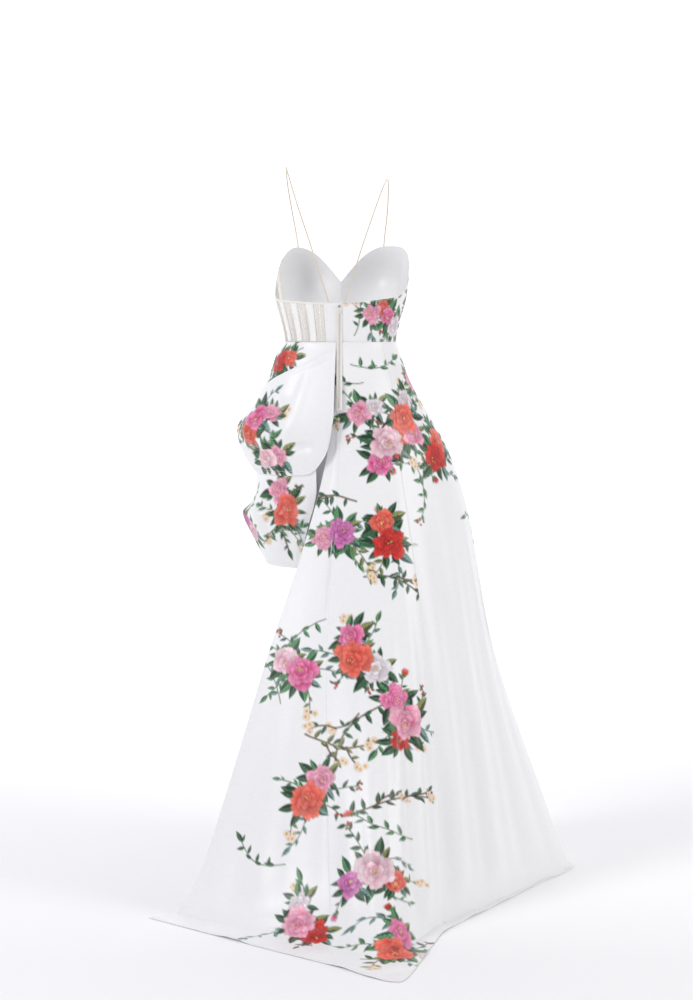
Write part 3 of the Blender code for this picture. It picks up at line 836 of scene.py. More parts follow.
BLOOM_INKS = {
    # heart, body, petal edge
    "coral": ("#a3100e", "#e6352a", "#ff8a73"),
    "hot": ("#9a0c46", "#e23384", "#ffa3cc"),
    "rose": ("#b52a5f", "#ee6c9c", "#ffcddd"),
    "pale": ("#c25f80", "#f2abc0", "#fff0f2"),
    "magenta": ("#741058", "#bd3394", "#f09ad4"),
    "deep": ("#4d050c", "#b00f1a", "#ee3f31"),
    "blush": ("#a9869a", "#e6d3df", "#fffdfd"),
}
LEAF_INKS = {
    # shade, body, light
    "dark": ("#143524", "#275c38", "#5f8f5c"),
    "mid": ("#205537", "#3f8550", "#8fbb82"),
    "olive": ("#4c5428", "#7f8a48", "#bcc286"),
    "grey": ("#33564f", "#5f8c80", "#aecbbd"),
}
WOOD_INK = "#6a4428"
STALK_INK = "#4d6a3c"
WOOD_WIDTH = 3.5
STALK_WIDTH = 2.1
STEM_STEP = 7


class Patch:
    """Part of a painted group round one place, with x and y in millimetres on the cloth."""

    def __init__(self, canvas, ids, x, y):
        self.canvas = canvas
        self.ids = ids
        self.x = x / MM
        self.y = y / MM
        self.colour = canvas.colour[ids]

    def lay(self, which, colour, cover):
        """Lays colour over the chosen points, as far as cover says."""
        self.colour[which] += (colour - self.colour[which]) * cover[:, None]

    def keep(self):
        """Puts the painted points back on the canvas."""
        self.canvas.colour[self.ids] = self.colour


class Canvas:
    """All points of the panels in one group, to be painted together across their seams."""

    def __init__(self, group):
        self.panels = [panel for panel in panels if panel.group == group]
        self.points = np.concatenate([p.laid.reshape(-1, 3) for p in self.panels])
        self.normals = np.concatenate([outward(p.laid).reshape(-1, 3) for p in self.panels])
        self.colour = np.concatenate([p.colour for p in self.panels])
        self.across = np.concatenate([p.across.ravel() for p in self.panels])
        self.down = np.concatenate([p.down.ravel() for p in self.panels])
        self.spread = (np.ptp(self.across), np.ptp(self.down))

    def patch(self, across, down, radius):
        """The points near a place: their direction is seen square on, their distance straight."""
        miss = ((self.across - across) / self.spread[0]) ** 2
        miss += ((self.down - down) / self.spread[1]) ** 2
        i = int(np.argmin(miss))
        normal = self.normals[i]
        up = np.array([0.0, 0.0, 1.0])
        if normal[2] > NEARLY_LEVEL:
            up = np.array([-self.points[i, 0], -self.points[i, 1], 0.0])
        up -= normal * (up @ normal)
        up /= np.linalg.norm(up)
        offset = self.points - self.points[i]
        far = np.einsum("ij,ij->i", offset, offset)
        near = np.nonzero((far < radius * radius) & (self.normals @ normal > TURNED_AWAY))[0]
        x = offset[near] @ np.cross(up, normal)
        y = offset[near] @ up
        longer = np.sqrt(far[near] / np.maximum(x * x + y * y, 1e-12))
        longer = np.minimum(longer, FARTHEST)
        return Patch(self, near, x * longer, y * longer)

    def keep(self):
        """Puts the colours back on the panels."""
        start = 0
        for panel in self.panels:
            count = len(panel.colour)
            panel.colour = self.colour[start:start + count]
            start += count


def ink(code):
    """A hex colour as an array that can be mixed."""
    return np.array(linear(code))


def away(x, y, angle, distance):
    """The place at a distance from another one, with the angle in radians."""
    return x + distance * math.cos(angle), y + distance * math.sin(angle)


def turned(patch, x, y, heading):
    """The patch's points seen from a place: along a heading and to its left."""
    a = math.radians(heading)
    dx = patch.x - x
    dy = patch.y - y
    return dx * math.cos(a) + dy * math.sin(a), dy * math.cos(a) - dx * math.sin(a)


def cover_of(inside):
    """How much a shape covers, from the distance inside its edge in millimetres."""
    return np.clip(0.5 + inside / (2 * SOFT_EDGE), 0, 1)


def paint_leaf(patch, x, y, heading, length, width, tone, draw):
    """A pointed leaf with a midrib, side veins and one lighter half."""
    along, left = turned(patch, x, y, heading)
    left = left + draw.uniform(-0.10, 0.10) * length * (along / length) ** 2
    t = np.clip(along / length, 0, 1)
    half = width / 2 * np.sin(np.pi * t ** 0.8) ** 0.9
    inside = np.minimum(half - np.abs(left), np.minimum(along, length - along))
    which = np.nonzero(inside > -SOFT_EDGE)[0]
    if not len(which):
        return
    shade, body, light = (ink(code) for code in LEAF_INKS[tone])
    t, left, half = t[which], left[which], half[which]
    lit = 0.45 + 0.5 * np.sign(left) * np.minimum(np.abs(left), 1.0) + 0.25 * (t - 0.5)
    lit = np.clip(lit, 0, 1)
    vein = 0.5 + 0.5 * np.cos((t * length - np.abs(left) * 1.2) / VEIN_STEP)
    colour = shade + (body - shade) * lit[:, None]
    colour += (light - colour) * (VEIN_INK * vein * lit)[:, None]
    rib = np.clip(1.1 - np.abs(left) / RIB_HALF, 0, 1)
    colour += (light - colour) * (RIB_INK * rib)[:, None]
    patch.lay(which, colour * draw.uniform(0.9, 1.1), cover_of(inside[which]))


def paint_petal(patch, x, y, heading, length, width, inks, tone, draw):
    """One ruffled petal: dark at its foot, light at its rim, with fine streaks."""
    along, left = turned(patch, x, y, heading)
    u = (along - length * 0.5) / (length * 0.5)
    v = left / (width * 0.5)
    angle = np.arctan2(v, u)
    ruffle = 0.07 * np.sin(angle * 5 + draw.uniform(0, TURN))
    ruffle += 0.04 * np.sin(angle * 9 + draw.uniform(0, TURN))
    inside = (1 + ruffle - np.hypot(u, v)) * min(length, width) * 0.5
    which = np.nonzero(inside > -SOFT_EDGE)[0]
    if not len(which):
        return
    heart, body, rim = inks
    under = np.nonzero(inside > -SHADOW_REACH)[0]
    shadow = SHADOW_INK * np.clip(0.5 + (inside[under] + 1.0) / 2.4, 0, 1)
    patch.lay(under, np.tile(heart, (len(under), 1)), shadow)
    reach = np.clip((u[which] + 1) / 2, 0, 1)
    streak = 0.5 + 0.5 * np.sin(v[which] * draw.uniform(6, 10) + draw.uniform(0, TURN))
    colour = heart + (body - heart) * ease(reach * 1.45)[:, None]
    colour += (rim - colour) * (ease((reach - 0.42) * 1.9) * (0.55 + 0.35 * streak))[:, None]
    edge = np.clip(1 - inside[which] / RIM, 0, 1)
    colour += (rim - colour) * (RIM_INK * edge)[:, None]
    patch.lay(which, colour * tone, cover_of(inside[which]))


# petal rings of two habits of bloom, from outside in: foot, petal length, petal width, count, tone
FULL_RINGS = [
    (0.20, 0.82, 0.56, 10, 1.06), (0.14, 0.70, 0.56, 8, 0.98), (0.08, 0.56, 0.44, 8, 1.05),
    (0.03, 0.42, 0.36, 6, 0.92), (0.0, 0.26, 0.22, 5, 1.02),
]
OPEN_RINGS = [
    (0.10, 0.92, 0.84, 6, 1.05), (0.04, 0.74, 0.66, 6, 0.95), (0.0, 0.50, 0.44, 5, 1.04),
    (0.0, 0.26, 0.26, 4, 0.86),
]
FULL_SHARE = 0.6            # the share of full blooms
RING_TURN = 23              # degrees from one ring to the next
LEAN = 0.24                 # how far a bloom may face to one side, in its radius


def paint_bloom(patch, x, y, radius, kind, draw):
    """A garden bloom: rings of petals, each ring shorter and a little turned."""
    inks = [ink(code) for code in BLOOM_INKS[kind]]
    start = draw.uniform(0, 360)
    lean = draw.uniform(-LEAN, LEAN, 2) * radius
    full = draw.random() < FULL_SHARE
    rings = FULL_RINGS if full else OPEN_RINGS
    for ring, (foot, length, width, count, tone) in enumerate(rings):
        for i in range(count):
            heading = start + ring * RING_TURN + 360 * i / count + draw.uniform(-19, 19)
            middle = x + lean[0] * ring / 4, y + lean[1] * ring / 4
            size = draw.uniform(0.74, 1.16) * radius
            washed = inks[1] + (inks[2] - inks[1]) * draw.uniform(0, 0.40)
            paint_petal(
                patch, *away(*middle, math.radians(heading), foot * radius),
                heading + draw.uniform(-16, 16), length * size, width * size * draw.uniform(0.85, 1.2),
                (inks[0], washed, inks[2]), tone * draw.uniform(0.74, 1.10), draw,
            )
    for _ in range(3 if full else 8):
        place = away(x + lean[0], y + lean[1], draw.uniform(0, TURN), draw.uniform(0.02, 0.15) * radius)
        paint_dot(patch, *place, 1.1, "#f2c877")


def paint_dot(patch, x, y, radius, code, light=None):
    """A berry, stamen or dot."""
    far = np.hypot(patch.x - x, patch.y - y)
    which = np.nonzero(far < radius + SOFT_EDGE)[0]
    if len(which):
        colour = np.tile(ink(code), (len(which), 1))
        if light:
            side = radius * 0.3
            off = np.hypot(patch.x[which] - x + side, patch.y[which] - y - side) / radius
            colour += (ink(light) - colour) * np.clip(1 - off, 0, 1)[:, None]
        patch.lay(which, colour, cover_of(radius - far[which]))


def paint_blossom(patch, x, y, radius, code, heart, draw):
    """A small five-petalled blossom."""
    start = draw.uniform(0, 360)
    inks = [ink(heart), ink(code), ink("#fffdf6")]
    for i in range(5):
        paint_petal(patch, x, y, start + 72 * i, radius, radius * 0.85, inks, 1.0, draw)
    paint_dot(patch, x, y, radius * 0.22, "#d9962e")


def paint_bud(patch, x, y, heading, length, kind, draw):
    """A closed bud in its green cup."""
    inks = [ink(code) for code in BLOOM_INKS[kind]]
    foot = away(x, y, math.radians(heading), -length * 0.12)
    for turn in (-16, 14, 0):
        paint_petal(patch, x, y, heading + turn, length, length * 0.55, inks, 0.95, draw)
    for turn in (-28, 0, 28):
        paint_leaf(patch, *foot, heading + turn, length * 0.55, length * 0.26, "mid", draw)


def paint_stem(patch, points, width, code):
    """A stem along a short run of points."""
    best = np.full(len(patch.x), np.inf)
    for (x0, y0), (x1, y1) in zip(points[:-1], points[1:]):
        dx, dy = x1 - x0, y1 - y0
        t = np.clip(((patch.x - x0) * dx + (patch.y - y0) * dy) / (dx * dx + dy * dy), 0, 1)
        best = np.minimum(best, np.hypot(patch.x - x0 - t * dx, patch.y - y0 - t * dy))
    which = np.nonzero(best < width / 2 + SOFT_EDGE)[0]
    if len(which):
        patch.lay(which, np.tile(ink(code), (len(which), 1)), cover_of(width / 2 - best[which]))


def paint_spray(patch, x, y, heading, length, curl, leaf, tone, tip, draw, woody=False):
    """A curving stem with leaves on alternate sides, ending in a bud, berries or blossoms."""
    steps = max(4, int(length / STEM_STEP))
    points = [(x, y)]
    way = heading
    for _ in range(steps):
        way += curl / steps + draw.uniform(-5, 5)
        x, y = away(x, y, math.radians(way), length / steps)
        points.append((x, y))
    stem = (WOOD_WIDTH, WOOD_INK) if woody else (STALK_WIDTH, STALK_INK)
    paint_stem(patch, points, *stem)
    for i in range(3, len(points), 2):
        side = 1 if (i // 2) % 2 else -1
        size = leaf * draw.uniform(0.75, 1.15) * (1 - 0.3 * i / len(points))
        paint_leaf(patch, *points[i], way + side * draw.uniform(32, 62), size, size * 0.40, tone, draw)
    if tip == "leaf":
        paint_leaf(patch, x, y, way, leaf * 1.1, leaf * 0.42, tone, draw)
    elif tip == "berries":
        for _ in range(5):
            place = away(x, y, draw.uniform(0, TURN), draw.uniform(2, 9))
            paint_dot(patch, *place, 2.6, "#8e1a1c", "#e0604a")
    elif tip == "blossoms":
        for _ in range(4):
            place = away(x, y, draw.uniform(0, TURN), draw.uniform(3, 13))
            paint_blossom(patch, *place, 6.5, "#f7e3b4", "#e2a46a", draw)
    elif tip in BLOOM_INKS:
        paint_bud(patch, x, y, way, 15, tip, draw)


print("inks:", len(BLOOM_INKS) + len(LEAF_INKS))

# %% [markdown]
# The brushes draw one motif each. A bouquet sets leaves round one to three blooms and sends a
# few thin sprays out of them, and a woody branch joins some of them. Where they lie is charted
# in one short table for each group of panels: place in the cut, heading and size.

# %% Bouquets and branches
def bloom_places(heading, blooms, size):
    """Kind, place and radius of each bloom: the largest one first, in the middle."""
    kinds = blooms.split()
    places = [(kinds[0], 0.0, 0.0, size)]
    for kind, (turn, distance, share) in zip(kinds[1:], ((0, 1.28, 0.80), (128, 1.18, 0.64))):
        place = away(0, 0, math.radians(heading + turn), distance * size)
        places.append((kind, *place, share * size))
    return places


def paint_greens(canvas, seed, across, down, heading, blooms, size, tone, reach, tip):
    """Sprays that run out of a bouquet, then a bed of leaves for each bloom."""
    draw = np.random.default_rng(seed)
    patch = canvas.patch(across, down, BED_RADIUS)
    tones = (tone, "mid", "olive", "grey", "dark")
    ends = (tip, "leaf", "blossoms", "leaf", "berries")
    for i in range(5):
        way = heading + 72 * i + draw.uniform(-26, 26)
        long = reach * draw.uniform(0.55, 1.05)
        leaf = draw.uniform(17, 29)
        paint_spray(patch, 0, 0, way, long, draw.uniform(-75, 75), leaf, tones[i], ends[i], draw)
    for kind, x, y, radius in bloom_places(heading, blooms, size):
        for i in range(10):
            way = 36 * i + draw.uniform(-15, 15)
            foot = away(x, y, math.radians(way), radius * draw.uniform(0.55, 0.72))
            length = draw.uniform(0.60, 1.30) * (18 + 0.5 * radius)
            paint_leaf(
                patch, *foot, way + draw.uniform(-28, 28),
                length, length * draw.uniform(0.36, 0.50), tones[(i * 7) % 5] if i % 2 else tone, draw,
            )
    patch.keep()


def paint_blooms(canvas, seed, across, down, heading, blooms, size, *_):
    """The blooms of a bouquet, the smallest first."""
    draw = np.random.default_rng(seed)
    patch = canvas.patch(across, down, BLOOM_RADIUS)
    for kind, x, y, radius in reversed(bloom_places(heading, blooms, size)):
        paint_bloom(patch, x, y, radius, kind, draw)
    patch.keep()


def paint_branch(canvas, seed, across, down, heading, length, curl, leaf, tone, tip, woody):
    """A woody branch, or a lone spray, set between the bouquets."""
    draw = np.random.default_rng(seed)
    patch = canvas.patch(across, down, BRANCH_EDGE + length * MM)
    paint_spray(patch, 0, 0, heading, length, curl, leaf, tone, tip, draw, woody)
    if woody:
        for share in (0.35, 0.65):
            fork = away(0, 0, math.radians(heading + curl * share / 2), share * length)
            turn = draw.choice((-48, 48))
            paint_spray(
                patch, *fork, heading + turn, length * 0.34, -turn, leaf * 0.8, tone, "blossoms",
                draw, True,
            )
    patch.keep()


BRANCHES = {
    # across, down, heading, length in mm, curl, leaf in mm, tone, tip, woody
    "train": [
        (2.9, 0.235, 160, 150, 50, 24, "dark", "leaf", True),
        (4.8, 0.20, 20, 120, -60, 22, "mid", "deep", False),
        (3.3, 0.345, 15, 165, -55, 25, "dark", "blossoms", True),
        (1.9, 0.42, 200, 130, 60, 24, "mid", "leaf", False),
        (4.2, 0.53, 185, 175, 45, 26, "dark", "berries", True),
        (1.5, 0.60, 330, 140, 50, 24, "olive", "blossoms", True),
        (2.4, 0.70, 20, 190, 40, 26, "dark", "berries", True),
        (4.9, 0.79, 160, 130, -50, 24, "mid", "coral", False),
        (1.3, 0.80, 195, 120, -60, 24, "dark", "leaf", False),
        (2.7, 0.93, 345, 170, 45, 27, "dark", "blossoms", True),
        (4.4, 0.90, 60, 110, 50, 24, "grey", "leaf", False),
        (0.8, 0.58, 110, 110, 40, 22, "grey", "leaf", False),
        (6.6, 0.22, 300, 120, -50, 23, "mid", "berries", False),
        (7.6, 0.10, 210, 110, 60, 22, "dark", "leaf", False),
        (9.6, 0.20, 20, 130, 50, 24, "dark", "leaf", False),
        (11.0, 0.34, 200, 150, -45, 25, "mid", "berries", True),
        (9.9, 0.56, 330, 150, 50, 25, "dark", "blossoms", True),
        (11.2, 0.72, 170, 140, -50, 24, "olive", "leaf", False),
        (10.2, 0.88, 20, 140, 45, 25, "dark", "berries", True),
        (2.7, 0.034, 338, 105, 60, 23, "mid", "leaf", False),
        (3.5, 0.060, 200, 60, -50, 20, "dark", "leaf", False),
    ],
    "pleat": [
        (-40, 1.125, 200, 95, 30, 20, "dark", "leaf", False),
        (-95, 1.07, 20, 100, -40, 22, "mid", "hot", False),
    ],
    "cowl": [
        (-62, 0.995, 215, 120, -50, 24, "dark", "leaf", True),
        (-96, 0.90, 60, 110, 50, 23, "mid", "berries", False),
        (-132, 1.00, 300, 120, 40, 24, "dark", "blossoms", True),
    ],
    "swag": [
        (-34, 0.84, 235, 130, 40, 24, "dark", "leaf", True),
        (-66, 0.72, 40, 110, -40, 23, "mid", "leaf", False),
        (-110, 0.80, 200, 130, 50, 24, "dark", "berries", True),
    ],
    "band": [
        (14, 1.150, 60, 70, 40, 18, "dark", "leaf", False),
        (88, 1.165, 100, 80, -40, 20, "mid", "deep", False),
    ],
    "cups": [
        (-150, 1.225, 60, 90, 40, 20, "dark", "leaf", False),
        (120, 1.225, 70, 90, -40, 20, "mid", "leaf", False),
    ],
}
BOUQUETS = {
    # across, down, heading, blooms, size in mm, leaf tone, spray reach in mm, spray tip
    "train": [
        (3.1, 0.105, 20, "rose blush", 25, "dark", 80, "deep"),
        (5.1, 0.165, 250, "pale hot coral", 35, "dark", 100, "coral"),
        (2.3, 0.285, 200, "magenta rose", 31, "mid", 105, "leaf"),
        (4.6, 0.315, 100, "deep coral", 34, "dark", 95, "rose"),
        (2.9, 0.465, 330, "coral blush hot", 38, "dark", 120, "berries"),
        (1.25, 0.515, 150, "hot pale", 33, "mid", 110, "deep"),
        (4.9, 0.605, 110, "rose hot deep", 37, "dark", 105, "coral"),
        (1.6, 0.695, 60, "coral rose", 36, "dark", 120, "berries"),
        (3.4, 0.765, 210, "pale magenta coral", 39, "dark", 120, "hot"),
        (1.5, 0.885, 340, "rose deep blush", 36, "dark", 110, "leaf"),
        (4.1, 0.885, 40, "coral hot", 37, "mid", 120, "deep"),
        (6.4, 0.135, 300, "coral rose blush", 33, "dark", 95, "deep"),
        (7.5, 0.215, 60, "deep coral", 33, "dark", 85, "leaf"),
        (8.3, 0.075, 200, "rose", 24, "mid", 60, "leaf"),
        (10.0, 0.10, 20, "pale coral", 31, "dark", 95, "leaf"),
        (11.2, 0.22, 200, "hot rose deep", 34, "dark", 105, "coral"),
        (9.7, 0.36, 60, "coral blush", 35, "mid", 110, "berries"),
        (10.9, 0.50, 140, "magenta pale", 36, "dark", 110, "leaf"),
        (9.6, 0.68, 30, "rose coral", 36, "dark", 110, "deep"),
        (11.0, 0.84, 200, "hot blush coral", 37, "dark", 110, "rose"),
    ],
    "pleat": [
        (-66, 1.095, 20, "deep coral", 25, "dark", 70, "leaf"),
        (-122, 1.085, 160, "rose pale", 28, "mid", 80, "deep"),
    ],
    "cowl": [
        (-63, 0.985, 250, "hot coral rose", 31, "dark", 80, "leaf"),
        (-112, 0.945, 140, "rose deep", 33, "mid", 90, "hot"),
        (-54, 0.900, 10, "pale rose", 26, "dark", 60, "leaf"),
        (-148, 1.005, 60, "coral pale", 31, "dark", 90, "leaf"),
    ],
    "swag": [
        (-40, 0.795, 110, "coral rose", 33, "dark", 95, "deep"),
        (-86, 0.765, 320, "magenta pale", 28, "mid", 80, "leaf"),
        (-126, 0.805, 200, "rose coral deep", 34, "dark", 95, "hot"),
        (-150, 0.735, 40, "pale hot", 30, "mid", 80, "leaf"),
    ],
    "band": [
        (30, 1.195, 20, "rose coral", 21, "dark", 55, "leaf"),
        (66, 1.170, 140, "blush hot", 23, "mid", 60, "leaf"),
        (98, 1.245, 300, "coral pale", 26, "dark", 70, "deep"),
        (150, 1.165, 20, "rose deep", 27, "dark", 70, "leaf"),
    ],
    "cups": [
        (142, 1.285, 120, "hot blush coral", 30, "dark", 80, "leaf"),
        (-138, 1.275, 20, "rose coral", 30, "dark", 80, "deep"),
    ],
}

for g, group in enumerate(BOUQUETS):
    canvas = Canvas(group)
    for i, branch in enumerate(BRANCHES[group]):
        paint_branch(canvas, 100 * g + i, *branch)
    for paint in (paint_greens, paint_blooms):
        for i, bouquet in enumerate(BOUQUETS[group]):
            paint(canvas, 1000 + 100 * g + i, *bouquet)
    canvas.keep()
    print(group, "points:", len(canvas.colour))

# %% [markdown]
# The side gore is plain below the hip: its print fades out where the white panel starts. The
# right part of the cowl, next to the zip, and the far-left of the left gore stay white too, as
# the chart sets nothing there.

# %% Plain parts
PLAIN_BELOW = 0.735
PLAIN_FADE = 0.012

side = by_name["train_side"]
plain = ease((PLAIN_BELOW - side.outer[:, :, 2]) / PLAIN_FADE).ravel()[:, None]
side.colour += (1 - side.colour) * plain
print("plain points:", int((plain == 1).sum()))

# %% [markdown]
# ## Materials
# Duchesse satin is a dense weave with a soft, broad shine and fine crosswise slubs. The threads
# are a tenth of a millimetre, far below what shows, so the slub is drawn about ten times
# coarser. The net is drawn as a grid of threads with air between them.

# %% Materials
def slubs(tree, shader, stretch, depth, strength):
    """Fine uneven threads as a bump: noise in object coordinates, stretched along the threads."""
    place = add_node(tree, "ShaderNodeTexCoord")
    scale = add_node(tree, "ShaderNodeMapping", {"Scale": stretch}, Vector=place.outputs["Object"])
    noise = add_node(tree, "ShaderNodeTexNoise", {"Scale": 1.0, "Detail": 2.0}, Vector=scale.outputs[0])
    bump_node = add_node(
        tree, "ShaderNodeBump", {"Strength": strength, "Distance": depth}, Height=noise.outputs[0]
    )
    tree.links.new(bump_node.outputs[0], shader.inputs["Normal"])
    return noise


def satin_material():
    """Printed duchesse satin: the print's colours, a broad shine and crosswise slubs."""
    material, tree, shader = new_material(
        "printed_duchesse_satin", {"Roughness": 0.40, "Sheen Weight": 0.06, "Sheen Roughness": 0.4}
    )
    dye = add_node(tree, "ShaderNodeAttribute", {"attribute_name": "print"})
    noise = slubs(tree, shader, (90, 90, 620), 0.0004, 0.12)
    tone = add_node(
        tree, "ShaderNodeMapRange", {"From Min": 0.3, "From Max": 0.7, "To Min": 0.87, "To Max": 0.90},
        Value=noise.outputs[0],
    )
    mix = add_node(tree, "ShaderNodeVectorMath", {"operation": "SCALE"}, Vector=dye.outputs["Color"])
    tree.links.new(tone.outputs[0], mix.inputs["Scale"])
    tree.links.new(mix.outputs[0], shader.inputs["Base Color"])
    return material


def plain_material(name, code, roughness, stretch, strength, sheen=0.0):
    """Dyed cloth of one colour with its own thread direction."""
    material, tree, shader = new_material(name, {"Roughness": roughness, "Sheen Weight": sheen})
    noise = slubs(tree, shader, stretch, 0.0003, strength)
    tone = add_node(tree, "ShaderNodeValToRGB", {}, Fac=noise.outputs[0])
    for stop, gain, position in zip(tone.color_ramp.elements, (0.93, 1.0), (0.3, 0.7)):
        stop.color = (*linear(code, gain), 1)
        stop.position = position
    tree.links.new(tone.outputs[0], shader.inputs["Base Color"])
    return material


def net_material():
    """Sheer illusion net: ivory threads round open cells of 2.2 mm, four times the real size."""
    material, tree, shader = new_material("sheer_illusion_net", {
        "Roughness": 0.6, "Specular IOR Level": 0.3, "Base Color": (*linear("#f3efe8"), 1),
    })
    place = add_node(tree, "ShaderNodeTexCoord")
    cells = add_node(
        tree, "ShaderNodeTexVoronoi", {"feature": "DISTANCE_TO_EDGE", "Scale": 450.0, "Randomness": 0.25},
        Vector=place.outputs["Object"],
    )
    thread = add_node(
        tree, "ShaderNodeMapRange", {"From Min": 0.05, "From Max": 0.12, "To Min": 0.66, "To Max": 0.30},
        Value=cells.outputs["Distance"],
    )
    tree.links.new(thread.outputs[0], shader.inputs["Alpha"])
    return material


def metal_material():
    """Silvered wire of the hook and eye, slightly worn."""
    material, tree, shader = new_material("silvered_wire", {
        "Roughness": 0.28, "Metallic": 1.0, "Base Color": (*linear("#c9c8c4"), 1),
    })
    slubs(tree, shader, (900, 900, 900), 0.0001, 0.1)
    return material


satin = satin_material()
net = net_material()
tape = plain_material("satin_bone_tape", "#fbfaf7", 0.42, (80, 80, 900), 0.15, 0.1)
trim = plain_material("cream_trim", "#f8f4ec", 0.48, (500, 500, 500), 0.2, 0.1)
twill = plain_material("cream_zip_tape", "#f3f0ea", 0.62, (350, 350, 1400), 0.35, 0.2)
strap_satin = plain_material("rolled_strap_satin", "#dfd2be", 0.42, (400, 400, 400), 0.15, 0.1)
thread = plain_material("sewing_thread", "#f7f4ee", 0.55, (2000, 2000, 2000), 0.3)
coil = plain_material("nylon_coil", "#e9e5dd", 0.35, (300, 300, 300), 0.05)
metal = metal_material()
print("materials:", len(bpy.data.materials))

# %% [markdown]
# ## Cloth pieces
# Each panel becomes one mesh that stands for its solid. The band's solids that already have
# the right shape, such as the casings and straps, only take a new finish.

# %% Build the cloth
cloth = {}
for panel in panels:
    sheer = panel.group == "net"
    cloth[panel.name] = panel.build(net if sheer else satin, panel.name, "net" if sheer else "satin")

KEPT = {
    "bone_casing_": (tape, "bone_tape"), "top_binding": (trim, "trim"),
    "strap_": (strap_satin, "trim"), "zip_tape": (twill, "trim"), "zip_slider": (coil, "trim"),
    "hook": (metal, "metal"), "eye": (metal, "metal"),
}
for name, node in frame["nodes"].items():
    for start, (material, slot_name) in KEPT.items():
        if name.startswith(start):
            node.data.materials.clear()
            node.data.materials.append(material)
            node.data.shade_smooth()
            node.data.set_sharp_from_angle(angle=math.radians(SOLID_SHARP))
print("cloth faces:", sum(len(piece.data.polygons) for piece in cloth.values()))

# %% [markdown]
# ## Stitches and zip
# One geometry-nodes tree makes both. It resamples a guide line at a pitch and sets one short
# round thread at each point, turned along the line for stitches, or across it for the coil of
# the zip. Each result is turned into a plain mesh.

# %% Thread tree
THREAD_INPUTS = [
    ("Pitch", "NodeSocketFloat"), ("Length", "NodeSocketFloat"), ("Radius", "NodeSocketFloat"),
    ("Along", "NodeSocketFloat"), ("Across", "NodeSocketVector"), ("Seed", "NodeSocketInt"),
    ("Material", "NodeSocketMaterial"),
]
SMALLEST = 0.88             # the threads are a little uneven in size
LARGEST = 1.06


def thread_tree():
    """Short round threads set along a guide line."""
    tree = bpy.data.node_groups.new("threads_along_a_line", "GeometryNodeTree")
    tree.interface.new_socket("Line", in_out="INPUT", socket_type="NodeSocketGeometry")
    for name, kind in THREAD_INPUTS:
        tree.interface.new_socket(name, in_out="INPUT", socket_type=kind)
    tree.interface.new_socket("Threads", in_out="OUTPUT", socket_type="NodeSocketGeometry")
    given = add_node(tree, "NodeGroupInput").outputs
    curve = add_node(tree, "GeometryNodeMeshToCurve", Mesh=given["Line"])
    points = add_node(
        tree, "GeometryNodeResampleCurve", {"mode": "LENGTH"}, Curve=curve.outputs[0], Length=given["Pitch"]
    )
    tangent = add_node(tree, "GeometryNodeInputTangent")
    along = add_node(tree, "ShaderNodeVectorMath", {"operation": "SCALE"}, Vector=tangent.outputs[0])
    tree.links.new(given["Along"], along.inputs["Scale"])
    way = add_node(tree, "ShaderNodeVectorMath", {"operation": "ADD"})
    tree.links.new(along.outputs[0], way.inputs[0])
    tree.links.new(given["Across"], way.inputs[1])
    turn = add_node(tree, "FunctionNodeAlignRotationToVector", {"axis": "Z"}, Vector=way.outputs[0])
    thread_mesh = add_node(
        tree, "GeometryNodeMeshCylinder", {"Vertices": 6}, Radius=given["Radius"], Depth=given["Length"]
    )
    uneven = add_node(tree, "FunctionNodeRandomValue", {"data_type": "FLOAT"})
    uneven.inputs[2].default_value = SMALLEST
    uneven.inputs[3].default_value = LARGEST
    tree.links.new(given["Seed"], uneven.inputs["Seed"])
    placed = add_node(
        tree, "GeometryNodeInstanceOnPoints", Points=points.outputs[0], Instance=thread_mesh.outputs[0],
        Rotation=turn.outputs[0], Scale=uneven.outputs[1],
    )
    real = add_node(tree, "GeometryNodeRealizeInstances", Geometry=placed.outputs[0])
    shaded = add_node(
        tree, "GeometryNodeSetMaterial", Geometry=real.outputs[0], Material=given["Material"]
    )
    add_node(tree, "NodeGroupOutput", Threads=shaded.outputs[0])
    return tree


threads = thread_tree()


def sew(name, lines, material, slot_name, replaces=(), **values):
    """Runs the tree along some lines above the floor and keeps the result as a plain mesh."""
    points, edges = [], []
    for line in lines:
        first = len(points)
        points += [(x, y, z - SHOULDER_HEIGHT) for x, y, z in line]
        edges += [(i, i + 1) for i in range(first, len(points) - 1)]
    guide_mesh = bpy.data.meshes.new(name + "_line")
    guide_mesh.from_pydata(points, edges, [])
    guide = add_object(name + "_line", guide_mesh)
    modifier = guide.modifiers.new("threads", "NODES")
    modifier.node_group = threads
    values["Material"] = material
    for item in threads.interface.items_tree:
        if item.in_out == "INPUT" and item.name in values:
            modifier[item.identifier] = values[item.name]
    made = guide.evaluated_get(bpy.context.evaluated_depsgraph_get())
    mesh = bpy.data.meshes.new_from_object(made)
    bpy.data.objects.remove(guide, do_unlink=True)
    mesh.name = name
    mesh.shade_smooth()
    piece = add_object(name, mesh)
    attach(piece, "root")
    if replaces:
        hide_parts(*replaces)
    return piece


print("tree nodes:", len(threads.nodes))

# %% [markdown]
# A lockstitch on this weight of satin is about 3 mm long. Hems are caught 7 to 12 mm in from
# the edge, the band and the cups are topstitched 2 to 4 mm from theirs, and each casing has a
# line down both sides. The coil of the zip has a turn each 1.5 mm.

# %% Sewing and zip teeth
def panel_line(name, row=None, column=None, lift=0.0001):
    """One row or column of a panel's outer face, just above the cloth."""
    panel = by_name[name]
    raised = panel.outer + outward(panel.outer) * lift
    return raised[row, 1:-1] if column is None else raised[1:-1, column]


